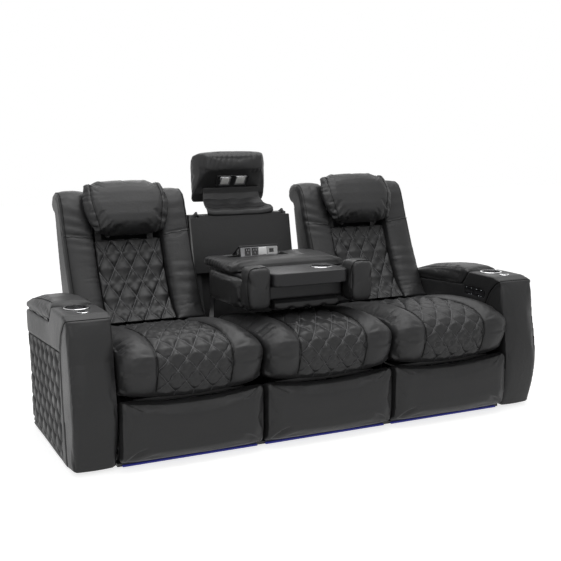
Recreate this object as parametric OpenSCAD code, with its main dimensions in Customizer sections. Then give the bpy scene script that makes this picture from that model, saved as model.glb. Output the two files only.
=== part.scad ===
// Three-seat reclining sofa whose middle back folds down into a console.
// X runs along the sofa, +Y to its rear and +Z up, from the middle of its footprint on the floor.
// Side outlines are lists of [y, z] points, given as shares of a box that named sizes make.

/* [Seats] */
// Distance from the middle of one seat to the middle of the next
seat_pitch = 615; // [600:5:640]
// Gap between a seat and the boundary of its own bay
seat_gap = 4.5; // [4:0.5:7]
// Depth of a seat cushion from its front roll to the crease under the back
seat_depth = 643; // [630:1:660]
// Height of a seat cushion from its underside to its crown
seat_rise = 236; // [220:2:244]
// Height of the underside of the seat cushions
seat_base = 272; // [268:1:280]
// Width of the quilted panel of a seat
seat_quilt_w = 313; // [260:1:360]
// How far a quilted diamond stands out over its seams
quilt_puff = 10; // [4:1:14]
// How far the side edge of a cushion is drawn in
edge_draw = 40; // [20:2:50]
// Rise of the seat's lower front edge from its middle to its corners
smile_rise = 34; // [20:1:38]

/* [Arms] */
// Width of an arm
arm_w = 180; // [165:1:200]
// Length of an arm from its front roll to its rear corner
arm_length = 820; // [800:5:850]
// Height of the arm's front block above the floor
arm_h = 620; // [600:2:640]
// Wall of the storage bin in an arm
bin_wall = 20; // [16:1:28]
// Depth of the storage bin below its lid
bin_depth = 200; // [150:5:240]
// Thickness of the bin's plastic liner
liner_t = 3; // [2:0.5:4]
// Bore radius of a cup holder in an arm
cup_r = 44; // [38:1:48]
// Depth of a cup holder in an arm
cup_depth = 75; // [60:1:95]
// Bore radius of an accessory dock
dock_r = 16; // [12:1:18]
// Depth of an accessory dock
dock_depth = 40; // [30:1:60]
// Depth of the recess that holds the quilted side panel
side_recess = 14; // [10:1:18]

/* [Backs] */
// Height of an outer back from its lower edge to its top
back_rise = 589; // [570:2:610]
// Fore and aft reach of an outer back's side outline
back_span = 425; // [410:2:440]
// Height of an outer back's lower edge
back_base = 438; // [434:1:442]
// Width of the quilted panel of a back
back_quilt_w = 320; // [300:2:322]
// Thickness of the quilted panel of a back
back_quilt_t = 52; // [40:1:55]
// Thickness of the rear cover of a back
cover_t = 8; // [5:1:10]

/* [Headrests] */
// Height of an outer headrest
head_rise = 256; // [240:2:266]
// Width of an outer headrest at its top
head_w = 420; // [400:2:440]
// Width of an outer headrest at its lower edge
head_foot_w = 322; // [300:2:340]
// Width of the front band of the middle headrest
mid_head_w = 304; // [290:2:320]

/* [Console] */
// Height of the underside of the folded console
console_base = 530; // [528:1:536]
// Height of the folded console from its underside to its tray
console_h = 170; // [160:1:180]
// Thickness of the padded rear of the console
pad_t = 44; // [36:1:48]
// Width of the console's padded rear
pad_w = 570; // [540:2:580]
// Width of the console's side bolsters over all
bolster_w = 608; // [600:1:610]
// Bore radius of a cup holder in the tray
tray_cup_r = 42; // [36:1:46]
// Depth of a cup holder in the tray
tray_cup_depth = 60; // [50:1:70]

/* [Mechanism] */
// Length of a footrest link between its end pivots
link_len = 180; // [172:1:184]
// Width of a footrest link
link_w = 24; // [18:1:26]
// Thickness of a footrest link
link_t = 4; // [3:0.5:5]
// Radius of a link pin
pin_r = 5; // [4:0.25:6]
// Gap between a pin and its hole
pin_fit = 0.05; // [0.03:0.01:0.1]
// Radius of the torque tube
torque_r = 10; // [8:0.5:12]
// Width of a slide rail
rail_w = 20; // [18:1:24]

/* [Base] */
// Height of the feet
foot_h = 10; // [8:1:12]
// Radius of a foot
foot_r = 25; // [20:1:30]
// Width of a base beam
beam_w = 32; // [28:1:34]
// Height of a base beam
beam_h = 36; // [30:1:40]

/* [Hidden] */
$fn = 48;
leather = "#3b3b3d";
leather_dark = "#2b2b2d";
plastic = "#18181a";
steel = "#8d9095";
lacquer = "#26272a";
blue = "#2a4bd8";
// Length that every cut runs past the face it opens
over = 1;
// Seat that one resting piece keeps from another
seat_fit = 0.3;

// Bays and levels
crease_y = 57;
seat_half = seat_pitch / 2 - seat_gap;
seat_front = crease_y - seat_depth;
arm_in = seat_pitch * 3 / 2;
arm_mid = arm_in + arm_w / 2;
arm_out = arm_in + arm_w;
arm_rear = 256;
arm_front = arm_rear - arm_length;

// Places of the seats, from left to right
function seat_x(side) = side * seat_pitch;

// Points at given shares of a box, from its corner [y, z] and its spans
function placed(shares, corner, span) =
  [for (s = shares) [corner[0] + s[0] * span[0], corner[1] + s[1] * span[1]]];

// Unit normal into a ring that runs anticlockwise, at point i
function inward(ring, i) =
  let (n = len(ring), t = ring[(i + 1) % n] - ring[(i + n - 1) % n])
  [-t[1], t[0]] / norm(t);

// Ring moved inward by inset, times each point's weight
function drawn_in(ring, inset, weights) =
  [for (i = [0 : len(ring) - 1]) ring[i] + inward(ring, i) * inset * weights[i]];

// Ring of [y, z] points stood up at x
function stood(ring, x) = [for (p = ring) [x, p[0], p[1]]];

// Twice the area that a ring encloses, as a vector square to it
function ring_area(ring) =
  [for (p = ring) 1] * [for (i = [0 : len(ring) - 1]) cross(ring[i], ring[(i + 1) % len(ring)])];

// How far a corner turns about the direction up
function turn(a, b, c, up) = cross(b - a, c - b) * up;

function covers(a, b, c, up, p) = turn(a, b, p, up) >= 0 && turn(b, c, p, up) >= 0 && turn(c, a, p,
  up) >= 0;

// Corners of the indices left that can be cut off whole
function free_corners(ring, left, up) =
  [for (k = [0 : len(left) - 1])
    let (m = len(left), a = ring[left[(k + m - 1) % m]], b = ring[left[k]], c = ring[left[(k + 1) % m]])
    if (turn(a, b, c, up) > 0 && len([for (i = left)
      let (p = ring[i]) if (p != a && p != b && p != c && covers(a, b, c, up, p)) i]) == 0) k];

// Triangles that fill a flat ring, which may be hollow in places
function filled(ring, left, up) =
  len(left) < 3 ? [] :
  let (m = len(left), free = free_corners(ring, left, up), k = len(free) > 0 ? free[0] : 1)
  concat([[left[(k + m - 1) % m], left[k], left[(k + 1) % m]]],
    filled(ring, [for (j = [0 : m - 1]) if (j != k) left[j]], up));

function cap(ring) = filled(ring, [for (j = [0 : len(ring) - 1]) j], ring_area(ring));

// Closed skin over rings of equal count. Diagonals alternate, so seams between drawn-in points stay straight.
module loft(rings) {
  n = len(rings[0]);
  m = len(rings);
  sides = [for (i = [0 : m - 2]) for (j = [0 : n - 1]) for (half = [0, 1])
    let (k = (j + 1) % n, a = i * n + j, b = (i + 1) * n + j, c = (i + 1) * n + k, d = i * n + k)
    (i + j) % 2 == 0 ? (half == 0 ? [a, b, c] : [a, c, d]) : (half == 0 ? [a, b, d] : [b, c, d])];
  last = [for (f = cap(rings[m - 1])) [f[2], f[1], f[0]] + [1, 1, 1] * (m - 1) * n];
  polyhedron(points = [for (r = rings) for (p = r) p], faces = concat(sides, cap(rings[0]), last));
}

// Slab with a side outline in [y, z], from x0 to x1
module side_slab(outline, x0, x1) {
  translate([x0, 0, 0])
    rotate([90, 0, 90])
      linear_extrude(x1 - x0)
        polygon(outline);
}

// Round bar along X through [y, z]
module x_bar(at, r, x0, x1) {
  translate([x0, at[0], at[1]])
    rotate([0, 90, 0])
      cylinder(r = r, h = x1 - x0);
}

// Block from one corner to the other
module block(low, high) {
  translate(low)
    cube(high - low);
}

// Upright block with rounded vertical edges
module rounded_block(low, high, r) {
  translate([0, 0, low[2]])
    linear_extrude(high[2] - low[2])
      rounded_rect([low[0], low[1]], [high[0], high[1]], r);
}

module rounded_rect(low, high, r) {
  translate([low[0] + r, low[1]])
    square([high[0] - low[0] - 2 * r, high[1] - low[1]]);
  translate([low[0], low[1] + r])
    square([high[0] - low[0], high[1] - low[1] - 2 * r]);
  for (x = [low[0] + r, high[0] - r])
    for (y = [low[1] + r, high[1] - r])
      translate([x, y])
        circle(r = r);
}

// The same piece on both sides of the middle plane
module both_sides() {
  children();
  mirror([1, 0, 0])
    children();
}

// Seat cushions

// Share of depth, share of rise, weight of the draw-in, weight of the smile
seat_ring_shares = [
  [0.09, 0, 0.3, 1], [0.20, 0, 0, 0.6], [0.45, 0, 0, 0], [0.90, 0, 0, 0], [1, 0.20, 0.3, 0],
    [1, 0.62, 0.6, 0],
  [0.985, 0.75, 1, 0], [0.92, 0.80, 1, 0], [0.84, 0.85, 1, 0], [0.76, 0.89, 1, 0], [0.68, 0.925, 1, 0],
  [0.60, 0.955, 1, 0], [0.52, 0.975, 1, 0], [0.44, 0.99, 1, 0], [0.36, 1, 1, 0], [0.28, 1, 1, 0],
  [0.20, 0.985, 1, 0], [0.125, 0.945, 1, 0], [0.06, 0.87, 1, 0], [0.015, 0.77, 1, 0], [0, 0.64, 1, 0],
  [0.005, 0.50, 1, 0.2], [0.018, 0.36, 1, 0.5], [0.036, 0.21, 1, 0.8], [0.055, 0.10, 0.8, 1]];
// Share of the half width, share of the edge draw-in
seat_edge_shares = [[1, 1], [0.96, 0.35], [0.83, -0.2], [0.66, -0.25]];
seat_quilt_first = 6;
quilt_cells = 8;
seam_share = 0.15;
seat_ring = placed(seat_ring_shares, [seat_front, seat_base], [seat_depth, seat_rise]);
seat_weights = [for (s = seat_ring_shares) s[2]];
seat_smiles = [for (s = seat_ring_shares) s[3]];

quilt_in_share = 0.4;
quilt_out_share = 0.6;
function quilt_step(i, j) = quilt_puff * ((i + j) % 2 == 0 ? quilt_in_share : -quilt_out_share);

function seat_station(x, inset, column) =
  let (smile = smile_rise * pow(x / seat_half, 2),
       insets = [for (j = [0 : len(seat_ring) - 1])
         column < 0 || j < seat_quilt_first ? inset * seat_weights[j] :
         column == 0 || column == quilt_cells ? edge_draw * seam_share * seat_weights[j] :
         quilt_step(column, j) * seat_weights[j]])
  [for (j = [0 : len(seat_ring) - 1])
    let (p = seat_ring[j] + inward(seat_ring, j) * insets[j])
    [x, p[0], p[1] + smile * seat_smiles[j]]];

module seat_cushion() {
  left = [for (s = seat_edge_shares) seat_station(-seat_half * s[0], edge_draw * s[1], -1)];
  quilt = [for (c = [0 : quilt_cells]) seat_station(seat_quilt_w * (c / quilt_cells - 1 / 2), 0, c)];
  right = [for (k = [len(seat_edge_shares) - 1 : -1 : 0])
    let (s = seat_edge_shares[k]) seat_station(seat_half * s[0], edge_draw * s[1], -1)];
  loft(concat(left, quilt, right));
}

// Footrests and the fixed front panel of the middle seat

footrest_setback = 10;
footrest_ground = 22;
footrest_t = 77;
footrest_gap = 14;
footrest_h = seat_base - footrest_gap - footrest_ground;
footrest_face_y = seat_front + footrest_setback + footrest_t;
footrest_draw = 18;
// Share of thickness, share of height, weight of the draw-in, weight of the smile
footrest_ring_shares = [
  [0.47, 0.01, 1, 0], [0.83, 0, 0.5, 0], [1, 0.16, 0, 0], [1, 0.88, 0, 0.6], [0.99, 0.92, 0.3, 0.8],
  [0.79, 0.985, 1, 1], [0.31, 1, 1, 1], [0.05, 0.895, 1, 1], [0, 0.66, 1, 0.6], [0.01, 0.33, 1, 0],
  [0.14, 0.12, 1, 0], [0.31, 0.03, 1, 0]];
// Share of the half width, share of the edge draw-in
footrest_edge_shares = [[-1, 1], [-0.97, 0.35], [-0.8, 0], [-0.4, -0.1], [0, -0.15], [0.4, -0.1], [0.8, 0],
  [0.97, 0.35], [1, 1]];
footrest_ring = placed(footrest_ring_shares, [seat_front + footrest_setback, footrest_ground],
  [footrest_t, footrest_h]);

module front_panel() {
  loft([for (e = footrest_edge_shares)
    [for (j = [0 : len(footrest_ring) - 1])
      let (s = footrest_ring_shares[j],
           p = footrest_ring[j] + inward(footrest_ring, j) * footrest_draw * e[1] * s[2])
      [seat_half * e[0], p[0], p[1] + smile_rise * e[0] * e[0] * s[3]]]]);
}

// Base

beam_front = -500;
beam_rear = 230;
front_beam_h = 12;
front_beam_w = 50;
side_front_edge = beam_front + front_beam_w;
deck_t = 16;
deck_w = 472;
deck_front_gap = 88;
deck_top = seat_base - seat_fit;
post_w = 30;
rail_edge = 15;
rail_out = seat_half - rail_edge;
rail_in = rail_out - rail_w;
rail_h = 20;
rail_top = foot_h + beam_h + rail_h;
beam_over = 6;
beam_in = rail_in - beam_over;
base_top = foot_h + beam_h;
base_reach = arm_in - seat_fit;
led_w = 10;
led_h = 6;

module front_beam() color(lacquer)
  block([-base_reach, beam_front, foot_h], [base_reach, side_front_edge, foot_h + front_beam_h]);

module base_frame() color(lacquer) {
  block([-base_reach, beam_rear - beam_w, foot_h], [base_reach, beam_rear, base_top]);
  for (bay = [-1, 0, 1])
    translate([seat_x(bay), 0, 0])
      both_sides()
        block([beam_in, side_front_edge, foot_h], [beam_in + beam_w, beam_rear, base_top]);
  middle_deck();
}

// Board and posts under the middle seat
module middle_deck() {
  block([-deck_w / 2, seat_front + deck_front_gap, deck_top - deck_t], [deck_w / 2, crease_y, deck_top]);
  both_sides() {
    block([deck_w / 2 - post_w, seat_front + deck_front_gap, foot_h + front_beam_h],
      [deck_w / 2, side_front_edge + post_w, deck_top - deck_t]);
    block([deck_w / 2 - post_w, crease_y - post_w, foot_h], [deck_w / 2, crease_y, deck_top - deck_t]);
    block([deck_w / 2 - post_w, side_front_edge, foot_h], [deck_w / 2, beam_rear, foot_h + front_beam_h]);
  }
}

foot_inset = 60;
module feet() color(plastic) {
  both_sides()
    for (y = [arm_front + arm_length * 0.22, arm_rear - foot_inset])
      translate([arm_mid, y, 0])
        cylinder(r = foot_r, h = arm_core[0][1]);
  for (x = [-1, 1])
    for (y = [beam_front + foot_inset, beam_rear - foot_inset])
      translate([x * seat_pitch / 2, y, 0])
        cylinder(r = foot_r, h = foot_h);
}

rail_front = -440;
rail_rear = 150;
rail_wall = 3;
module slide_rails() color(steel)
  for (bay = [-1, 1])
    translate([seat_x(bay), 0, 0])
      both_sides()
        difference() {
          block([rail_in, rail_front, base_top], [rail_out, rail_rear, rail_top]);
          block([rail_in + rail_wall, rail_front - over, base_top + rail_wall],
            [rail_out + over, rail_rear + over, rail_top - rail_wall]);
        }

module led_strip() color(blue)
  for (bay = [-1, 0, 1])
    translate([seat_x(bay), 0, 0])
      block([-seat_half + rail_edge, beam_front - led_w - seat_fit, foot_h],
        [seat_half - rail_edge, beam_front - seat_fit, foot_h + led_h]);

// Arms

// Outline of the arm's core, from its lower front corner to the rear, then forward over the top
arm_core_shares = [
  [0.171, 0.016], [0.946, 0.016], [1, 0.847], [0.448, 0.885], [0.382, 0.997], [0.161, 0.997],
    [0.126, 0.985],
  [0.090, 0.974], [0.133, 0.944], [0.188, 0.871], [0.228, 0.752], [0.224, 0.645], [0.200, 0.323]];
// Front roll of the arm from its top seam down to the floor
arm_front_shares = [
  [0.072, 0.948], [0.058, 0.895], [0.048, 0.82], [0.038, 0.719], [0.017, 0.590], [0.002, 0.45], [0, 0.36],
  [0.008, 0.26], [0.022, 0.17], [0.040, 0.09], [0.063, 0.016]];
arm_box = [arm_front, 0];
arm_span = [arm_length, arm_h];
arm_core = placed(arm_core_shares, arm_box, arm_span);
lid_rear = arm_core[2];
lid_seam = arm_core[3];
block_rear = arm_core[4];
side_top_rear_share = 0.676;
side_top_front_share = 0.735;
side_low_share = 0.03;
side_front_share = 0.25;
side_rear_share = 0.975;

function along_lid(y) = lid_rear[1] + (lid_seam[1] - lid_rear[1])
  * (lid_rear[0] - y) / (lid_rear[0] - lid_seam[0]);
function side_top(y) =
  arm_h * (side_top_rear_share + (side_top_front_share - side_top_rear_share)
    * (arm_rear - y) / (arm_length * (1 - side_front_share)));
side_front_y = arm_front + arm_length * side_front_share;
side_rear_y = arm_front + arm_length * side_rear_share;
side_low = arm_h * side_low_share;
bin_front = lid_seam[0] + bin_wall;
bin_rear = arm_rear - bin_wall;
bin_floor = along_lid(bin_rear) - bin_depth;
bin_in = arm_in + bin_wall;
bin_out = arm_out - side_recess - bin_wall;
cup_edge = 3;
block_top = arm_core[5][1];
cup_lip_w = 8;
cup_lip_t = 3;
cup_y = block_rear[0] - cup_r - cup_lip_w - cup_edge;
dock_wall = 7;
dock_gap = 26;
dock_y = cup_y - cup_r - cup_lip_w - dock_gap - dock_wall - dock_r;
panel_front = arm_front + arm_length * 0.232;
panel_rear = arm_front + arm_length * 0.423;
panel_low = arm_h * 0.82;
panel_high = arm_h * 0.88;
panel_recess = 14;

module arm_core_solid() {
  difference() {
    side_slab(arm_core, arm_in, arm_out);
    block([bin_in, bin_front, bin_floor], [bin_out, bin_rear, arm_h + over]);
    translate([arm_mid, cup_y, block_top - cup_depth - liner_t - seat_fit])
      cylinder(r = cup_r + liner_t + seat_fit, h = arm_h);
    translate([arm_mid, dock_y, block_top - dock_depth - liner_t - seat_fit])
      cylinder(r = dock_r + liner_t + seat_fit, h = arm_h);
    block([arm_in - over, panel_front, panel_low], [arm_in + panel_recess, panel_rear, panel_high]);
    side_slab([[side_front_y, side_low], [side_rear_y, side_low], [side_rear_y, side_top(side_rear_y)],
      [side_front_y, side_top(side_front_y)]], arm_out - side_recess, arm_out + over);
    hinge_relief();
  }
}

module arm_left() color(leather) mirror([1, 0, 0]) arm_core_solid();
module arm_right() color(leather) arm_core_solid();

// Front pads that follow the core's seam and roll round to the floor
// Share of the width, share of the edge draw-in
pad_edge_shares = [[0, 1], [0.03, 0.45], [0.10, 0.1], [0.3, 0], [0.5, -0.05], [0.7, 0], [0.90, 0.1],
  [0.97, 0.45], [1, 1]];
pad_draw = 20;
arm_pad_seam = [for (k = [13 : -1 : 7]) arm_core[k % 13] - [seat_fit, 0]];
arm_pad_ring = concat(arm_pad_seam, placed(arm_front_shares, arm_box, arm_span));
arm_pad_weights = [for (j = [0 : len(arm_pad_ring) - 1]) j < len(arm_pad_seam) ? 0 : 1];

module arm_fronts() color(leather)
  both_sides()
    loft([for (e = pad_edge_shares)
      stood(drawn_in(arm_pad_ring, pad_draw * e[1], arm_pad_weights), arm_in + arm_w * e[0])]);

// Quilted side panels: tall diamonds between wavy columns
side_columns = 14;
side_rows = 8;
rim_share = 1.2;
side_puff = 6;
module arm_sides() color(leather_dark)
  both_sides()
    loft([for (c = [0 : side_columns])
      let (y = side_front_y + seat_fit + (side_rear_y - side_front_y - 2 * seat_fit) * c / side_columns,
           low = side_low + seat_fit,
           high = side_top(y) - seat_fit)
      concat(
        [[arm_out - side_recess + seat_fit, y, low], [arm_out - side_recess + seat_fit, y, high]],
        [for (r = [side_rows : -1 : 0])
          let (rim = c == 0 || c == side_columns || r == 0 || r == side_rows,
               x = arm_out - side_puff * (rim ? rim_share : (c + r) % 2 == 0 ? 1 : 0))
          [x, y, low + (high - low) * r / side_rows]])]);

module storage_bins() color(plastic)
  both_sides()
    difference() {
      block([bin_in + seat_fit, bin_front + seat_fit, bin_floor + seat_fit],
        [bin_out - seat_fit, bin_rear - seat_fit, along_lid(bin_rear) - liner_t]);
      block([bin_in + liner_t, bin_front + liner_t, bin_floor + liner_t],
        [bin_out - liner_t, bin_rear - liner_t, arm_h]);
    }

// Cup liner: a can with a turned-out lip, its mouth at the origin
module cup_liner(r, depth, wall, lip_w, lip_t) {
  rotate_extrude()
    polygon([[0, -depth - wall], [r + wall, -depth - wall], [r + wall, 0], [r + lip_w, 0],
      [r + lip_w, lip_t / 2], [r + lip_w - lip_t / 2, lip_t], [r, lip_t], [r, -depth], [0, -depth]]);
}

module arm_cups() color(steel)
  both_sides()
    translate([arm_mid, cup_y, block_top + seat_fit])
      cup_liner(cup_r, cup_depth, liner_t, cup_lip_w, cup_lip_t);

module accessory_docks() color(steel)
  both_sides()
    translate([arm_mid, dock_y, block_top + seat_fit])
      cup_liner(dock_r, dock_depth, liner_t, dock_wall, cup_lip_t);

// Control panels and their rockers on the inner faces of the arms
rocker_l = 62;
rocker_h = 20;
rocker_t = 9;
rocker_gap = 1;
rocker_out = 2;
rocker_pin_inset = 5;
rocker_pin_x = arm_in + rocker_pin_inset;
rocker_pin_l = 4;
panel_mid_z = (panel_low + panel_high) / 2;
rocker_pin_r = 2;
function rocker_y(which) = (panel_front + panel_rear) / 2 + which * (panel_rear - panel_front) / 4;

module control_panels() color(plastic)
  both_sides()
    difference() {
      block([arm_in + seat_fit, panel_front + seat_fit, panel_low + seat_fit],
        [arm_in + panel_recess - seat_fit, panel_rear - seat_fit, panel_high - seat_fit]);
      for (which = [-1, 1])
        block([arm_in - over, rocker_y(which) - rocker_l / 2 - rocker_gap,
          panel_mid_z - rocker_h / 2 - 2 * rocker_gap],
          [arm_in + rocker_t + 2 * rocker_gap, rocker_y(which) + rocker_l / 2 + rocker_gap,
            panel_mid_z + rocker_h / 2 + 2 * rocker_gap]);
      for (which = [-1, 1]) {
        reach = rocker_l / 2 + rocker_gap + rocker_pin_l + seat_fit;
        y_bar(rocker_pin_x, panel_mid_z, rocker_pin_r + pin_fit, rocker_y(which) - reach, rocker_y(which)
          + reach);
      }
    }

// Round bar along Y at x and z
module y_bar(x, z, r, y0, y1) {
  translate([x, y1, z])
    rotate([90, 0, 0])
      cylinder(r = r, h = y1 - y0);
}

module rocker(which) {
  reach = rocker_l / 2 + rocker_gap + rocker_pin_l;
  y_bar(rocker_pin_x, panel_mid_z, rocker_pin_r, rocker_y(which) - reach, rocker_y(which) + reach);
  face = arm_in - rocker_out;
  translate([0, rocker_y(which) + rocker_l / 2, 0])
    rotate([90, 0, 0])
      linear_extrude(rocker_l)
        polygon([[face, panel_mid_z - rocker_h / 2], [face + rocker_t, panel_mid_z - rocker_h / 2
          + rocker_out],
          [face + rocker_t, panel_mid_z + rocker_h / 2 - rocker_out], [face, panel_mid_z + rocker_h / 2],
          [face + rocker_out / 2, panel_mid_z]]);
}

module rocker_recline_left() color(plastic) mirror([1, 0, 0]) rocker(1);
module rocker_recline_right() color(plastic) rocker(1);
module rocker_headrest_left() color(plastic) mirror([1, 0, 0]) rocker(-1);
module rocker_headrest_right() color(plastic) rocker(-1);

// Lids of the storage bins, hinged along their outer lower edge
lid_side_gap = 2;
hinge_r = 4;
hinge_in = 8.5;
hinge_up = 7.5;
hinge_leaf_t = 2;
leaf_drop = 24;
hinge_x = arm_out - hinge_in;
lid_front_gap = 14;
// Crown of the lid from its rear edge forward, as shares of the arm
lid_crown_shares = [[1, 0.900], [0.985, 0.915], [0.90, 0.948], [0.80, 0.977], [0.68, 0.999], [0.56, 1.012],
  [0.45, 1.011], [0.405, 1.003], [0.393, 0.985]];
lid_floor = [[lid_seam[0] + lid_front_gap, along_lid(lid_seam[0] + lid_front_gap) + seat_fit],
  [lid_rear[0], lid_rear[1] + seat_fit]];
lid_ring = concat(lid_floor, placed(lid_crown_shares, arm_box, arm_span));
// Share of the lid's width, share of its edge draw-in
lid_edge_shares = [[0, 1], [0.04, 0.4], [0.15, 0.05], [0.35, 0], [0.65, 0], [0.85, 0.05], [0.96, 0.4],
  [1, 1]];
lid_draw = 22;
// Weight of the draw-in at each point of the lid's outline
lid_draw_shares = [0, 0, 0.3, 0.5, 0.9, 1, 1, 1, 0.7, 0.4, 0.2];
lid_slope = atan2(lid_seam[1] - lid_rear[1], lid_rear[0] - lid_seam[0]);
lid_w = arm_w - 2 * lid_side_gap;

// Hinge line frame: its X runs forward along the lid's seat, from the rear end of the hinge
module on_hinge_line()
  translate([hinge_x, lid_rear[0], lid_rear[1] + hinge_up])
    rotate([-lid_slope, 0, 0])
      children();

hinge_run = (lid_rear[0] - lid_seam[0]) / cos(lid_slope);
hinge_end = 40;
knuckles = 5;
knuckle_gap = 0.5;
knuckle_l = (hinge_run - 2 * hinge_end) / knuckles;

module hinge_knuckles(first) {
  for (k = [first : 2 : knuckles - 1])
    on_hinge_line()
      translate([0, -hinge_end - k * knuckle_l - knuckle_gap / 2, 0])
        rotate([90, 0, 0])
          cylinder(r = hinge_r, h = knuckle_l - knuckle_gap);
}

module hinge_relief()
  on_hinge_line()
    translate([-hinge_leaf_t - seat_fit, -hinge_run + hinge_end - seat_fit, -hinge_up - leaf_drop])
      cube([hinge_leaf_t + 2 * seat_fit, hinge_run - 2 * hinge_end + 2 * seat_fit, leaf_drop + over]);

module lid_hinges() color(steel)
  both_sides() {
    hinge_knuckles(0);
    for (k = [0 : 2 : knuckles - 1])
      on_hinge_line()
        translate([-hinge_leaf_t, -hinge_end - (k + 1) * knuckle_l + knuckle_gap / 2, -hinge_up - leaf_drop
          + seat_fit])
          cube([hinge_leaf_t, knuckle_l - knuckle_gap, leaf_drop + hinge_up - seat_fit]);
  }

module lid_shape() {
  difference() {
    loft([for (e = lid_edge_shares)
      stood(drawn_in(lid_ring, lid_draw * e[1], lid_draw_shares), arm_in + lid_side_gap + lid_w * e[0])]);
    on_hinge_line()
      translate([-hinge_r - 2 * seat_fit, -hinge_run * 2, -hinge_up * 2])
        cube([arm_w, hinge_run * 3, hinge_up * 2 + hinge_r + 2 * seat_fit]);
  }
  hinge_knuckles(1);
  for (k = [1 : 2 : knuckles - 1])
    on_hinge_line()
      translate([-hinge_r - liner_t, -hinge_end - (k + 1) * knuckle_l + knuckle_gap / 2, -hinge_leaf_t / 2])
        cube([hinge_r + liner_t, knuckle_l - knuckle_gap, hinge_leaf_t]);
}

module lid_left() color(leather) mirror([1, 0, 0]) lid_shape();
module lid_right() color(leather) lid_shape();

// Outer backs

back_front = 80;
back_corner = [back_front, back_base];
back_box = [back_span, back_rise];
wing_seam = 2;
wing_inner = back_quilt_w / 2 + wing_seam;
back_gap = 2.5;
wing_outer = seat_pitch / 2 - back_gap;
wing_shares = [
  [0, 0.027], [0.024, 0.007], [0.588, 0], [0.624, 0.207], [0.708, 0.431], [0.774, 0.638], [0.819, 0.793],
  [0.847, 0.810], [0.936, 0.830], [0.988, 0.878], [1, 0.929], [0.960, 0.975], [0.871, 0.998], [0.753, 1],
  [0.659, 0.971], [0.600, 0.912], [0.555, 0.835], [0.494, 0.716], [0.414, 0.581], [0.334, 0.445],
  [0.240, 0.309], [0.165, 0.207], [0.096, 0.114], [0.035, 0.054]];
wing_ring = placed(wing_shares, back_corner, back_box);
// Share of the wing's width, share of the wing's edge draw-in
wing_edge_shares = [[0, 0.85], [0.07, 0.25], [0.35, -0.15], [0.70, -0.15], [0.93, 0.25], [1, 1]];
wing_draw = 16;
wing_soft_from = 7;
wing_rear_share = 0.15;
wing_weights = [for (j = [0 : len(wing_ring) - 1]) j < wing_soft_from ? wing_rear_share : 1];

module wing(side)
  loft([for (k = [0 : len(wing_edge_shares) - 1])
    let (e = wing_edge_shares[side > 0 ? k : len(wing_edge_shares) - 1 - k])
    stood(drawn_in(wing_ring, wing_draw * e[1], wing_weights),
      side * (wing_inner + (wing_outer - wing_inner) * e[0]))]);

module back_wings()
  for (side = [-1, 1])
    wing(side);

// Quilted panel: even steps along its front line, then straight down its rear
quilt_front_shares = [[-0.012, 0.031], [0.155, 0.114], [0.325, 0.309], [0.485, 0.581], [0.518, 0.633]];
quilt_front_line = placed(quilt_front_shares, back_corner, back_box);
quilt_rows = 12;

// Distance along a line up to point k
function run_to(line, k) = k == 0 ? 0 : norm(line[k] - line[k - 1]) + run_to(line, k - 1);
// Point at distance d along a line
function along(line, d, k = 0) =
  let (step = norm(line[k + 1] - line[k]))
  d <= step || k == len(line) - 2 ? line[k] + (line[k + 1] - line[k]) * d / step : along(line, d - step,
    k + 1);

function line_points(line, count) =
  [for (j = [0 : count]) along(line, run_to(line, len(line) - 1) * j / count)];

quilt_front_points = line_points(quilt_front_line, quilt_rows);
quilt_rear_shares = [0.1, 0.37, 0.64, 0.91];
quilt_rear_points =
  [for (e = quilt_rear_shares) along(quilt_front_line, run_to(quilt_front_line, len(quilt_front_line) - 1)
    * e)];
quilt_slant = [0.84, -0.54];

module back_quilt() {
  n = len(quilt_front_points);
  loft([for (c = [0 : quilt_cells])
    concat(
      [for (p = quilt_rear_points) let (q = p + quilt_slant * back_quilt_t)
        [back_quilt_w * (c / quilt_cells - 1 / 2), q[0], q[1]]],
      [for (j = [n - 1 : -1 : 0])
        let (rim = c == 0 || c == quilt_cells || j == 0 || j == n - 1,
             out = rim ? -quilt_puff / 2 : quilt_step(c, j + 1),
             p = quilt_front_points[j] - quilt_slant * out)
        [back_quilt_w * (c / quilt_cells - 1 / 2), p[0], p[1]]])]);
}

cover_shares = [[0.602, 0], [0.638, 0.207], [0.722, 0.431], [0.788, 0.638], [0.831, 0.784]];
cover_line = placed(cover_shares, back_corner, back_box);
module back_cover()
  side_slab(concat(cover_line, [for (k = [len(cover_line) - 1 : -1 : 0]) cover_line[k] + [cover_t, 0]]),
    -wing_outer + wing_draw / 2, wing_outer - wing_draw / 2);

// Recline pivot and the steel frame of an outer back

// Recline pivot behind the crease and above the seat's base
recline_back = 93;
recline_up = 153;
recline_pivot = [crease_y + recline_back, seat_base + recline_up];
plate_gap = 8;
plate_t = 4;
plate_out = rail_in - plate_gap;
plate_in = plate_out - plate_t;
layer_gap = 1;
eye_r = 12;
ear_out = plate_in - layer_gap;
ear_in = ear_out - link_t;
post_in = 110;
post_out = 140;
post_t = 20;
tube = 20;
wing_clear = 1;
tube_top = back_base - wing_clear;
// Front line of the posts, from the pivot tube up
post_shares = [[0.30, -0.002], [0.335, 0.13], [0.546, 0.419], [0.64, 0.62], [0.687, 0.779], [0.72, 0.886]];
post_line = placed(post_shares, back_corner, back_box);
head_tilt = placed([[0.489, 0.655]], back_corner, back_box)[0];
head_bar_step = 6;
head_bar = [post_line[3][0] + head_bar_step, head_tilt[1] + head_bar_step];
head_arm_in = 92;
head_arm_t = 6;
head_ear_t = 4;
head_eye_r = 8;
head_ear_in = head_arm_in + head_arm_t + layer_gap;

// Line with a second edge a given step away, as one outline
function doubled(line, step) = concat(line, [for (k = [len(line) - 1 : -1 : 0]) line[k] + step]);

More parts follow.
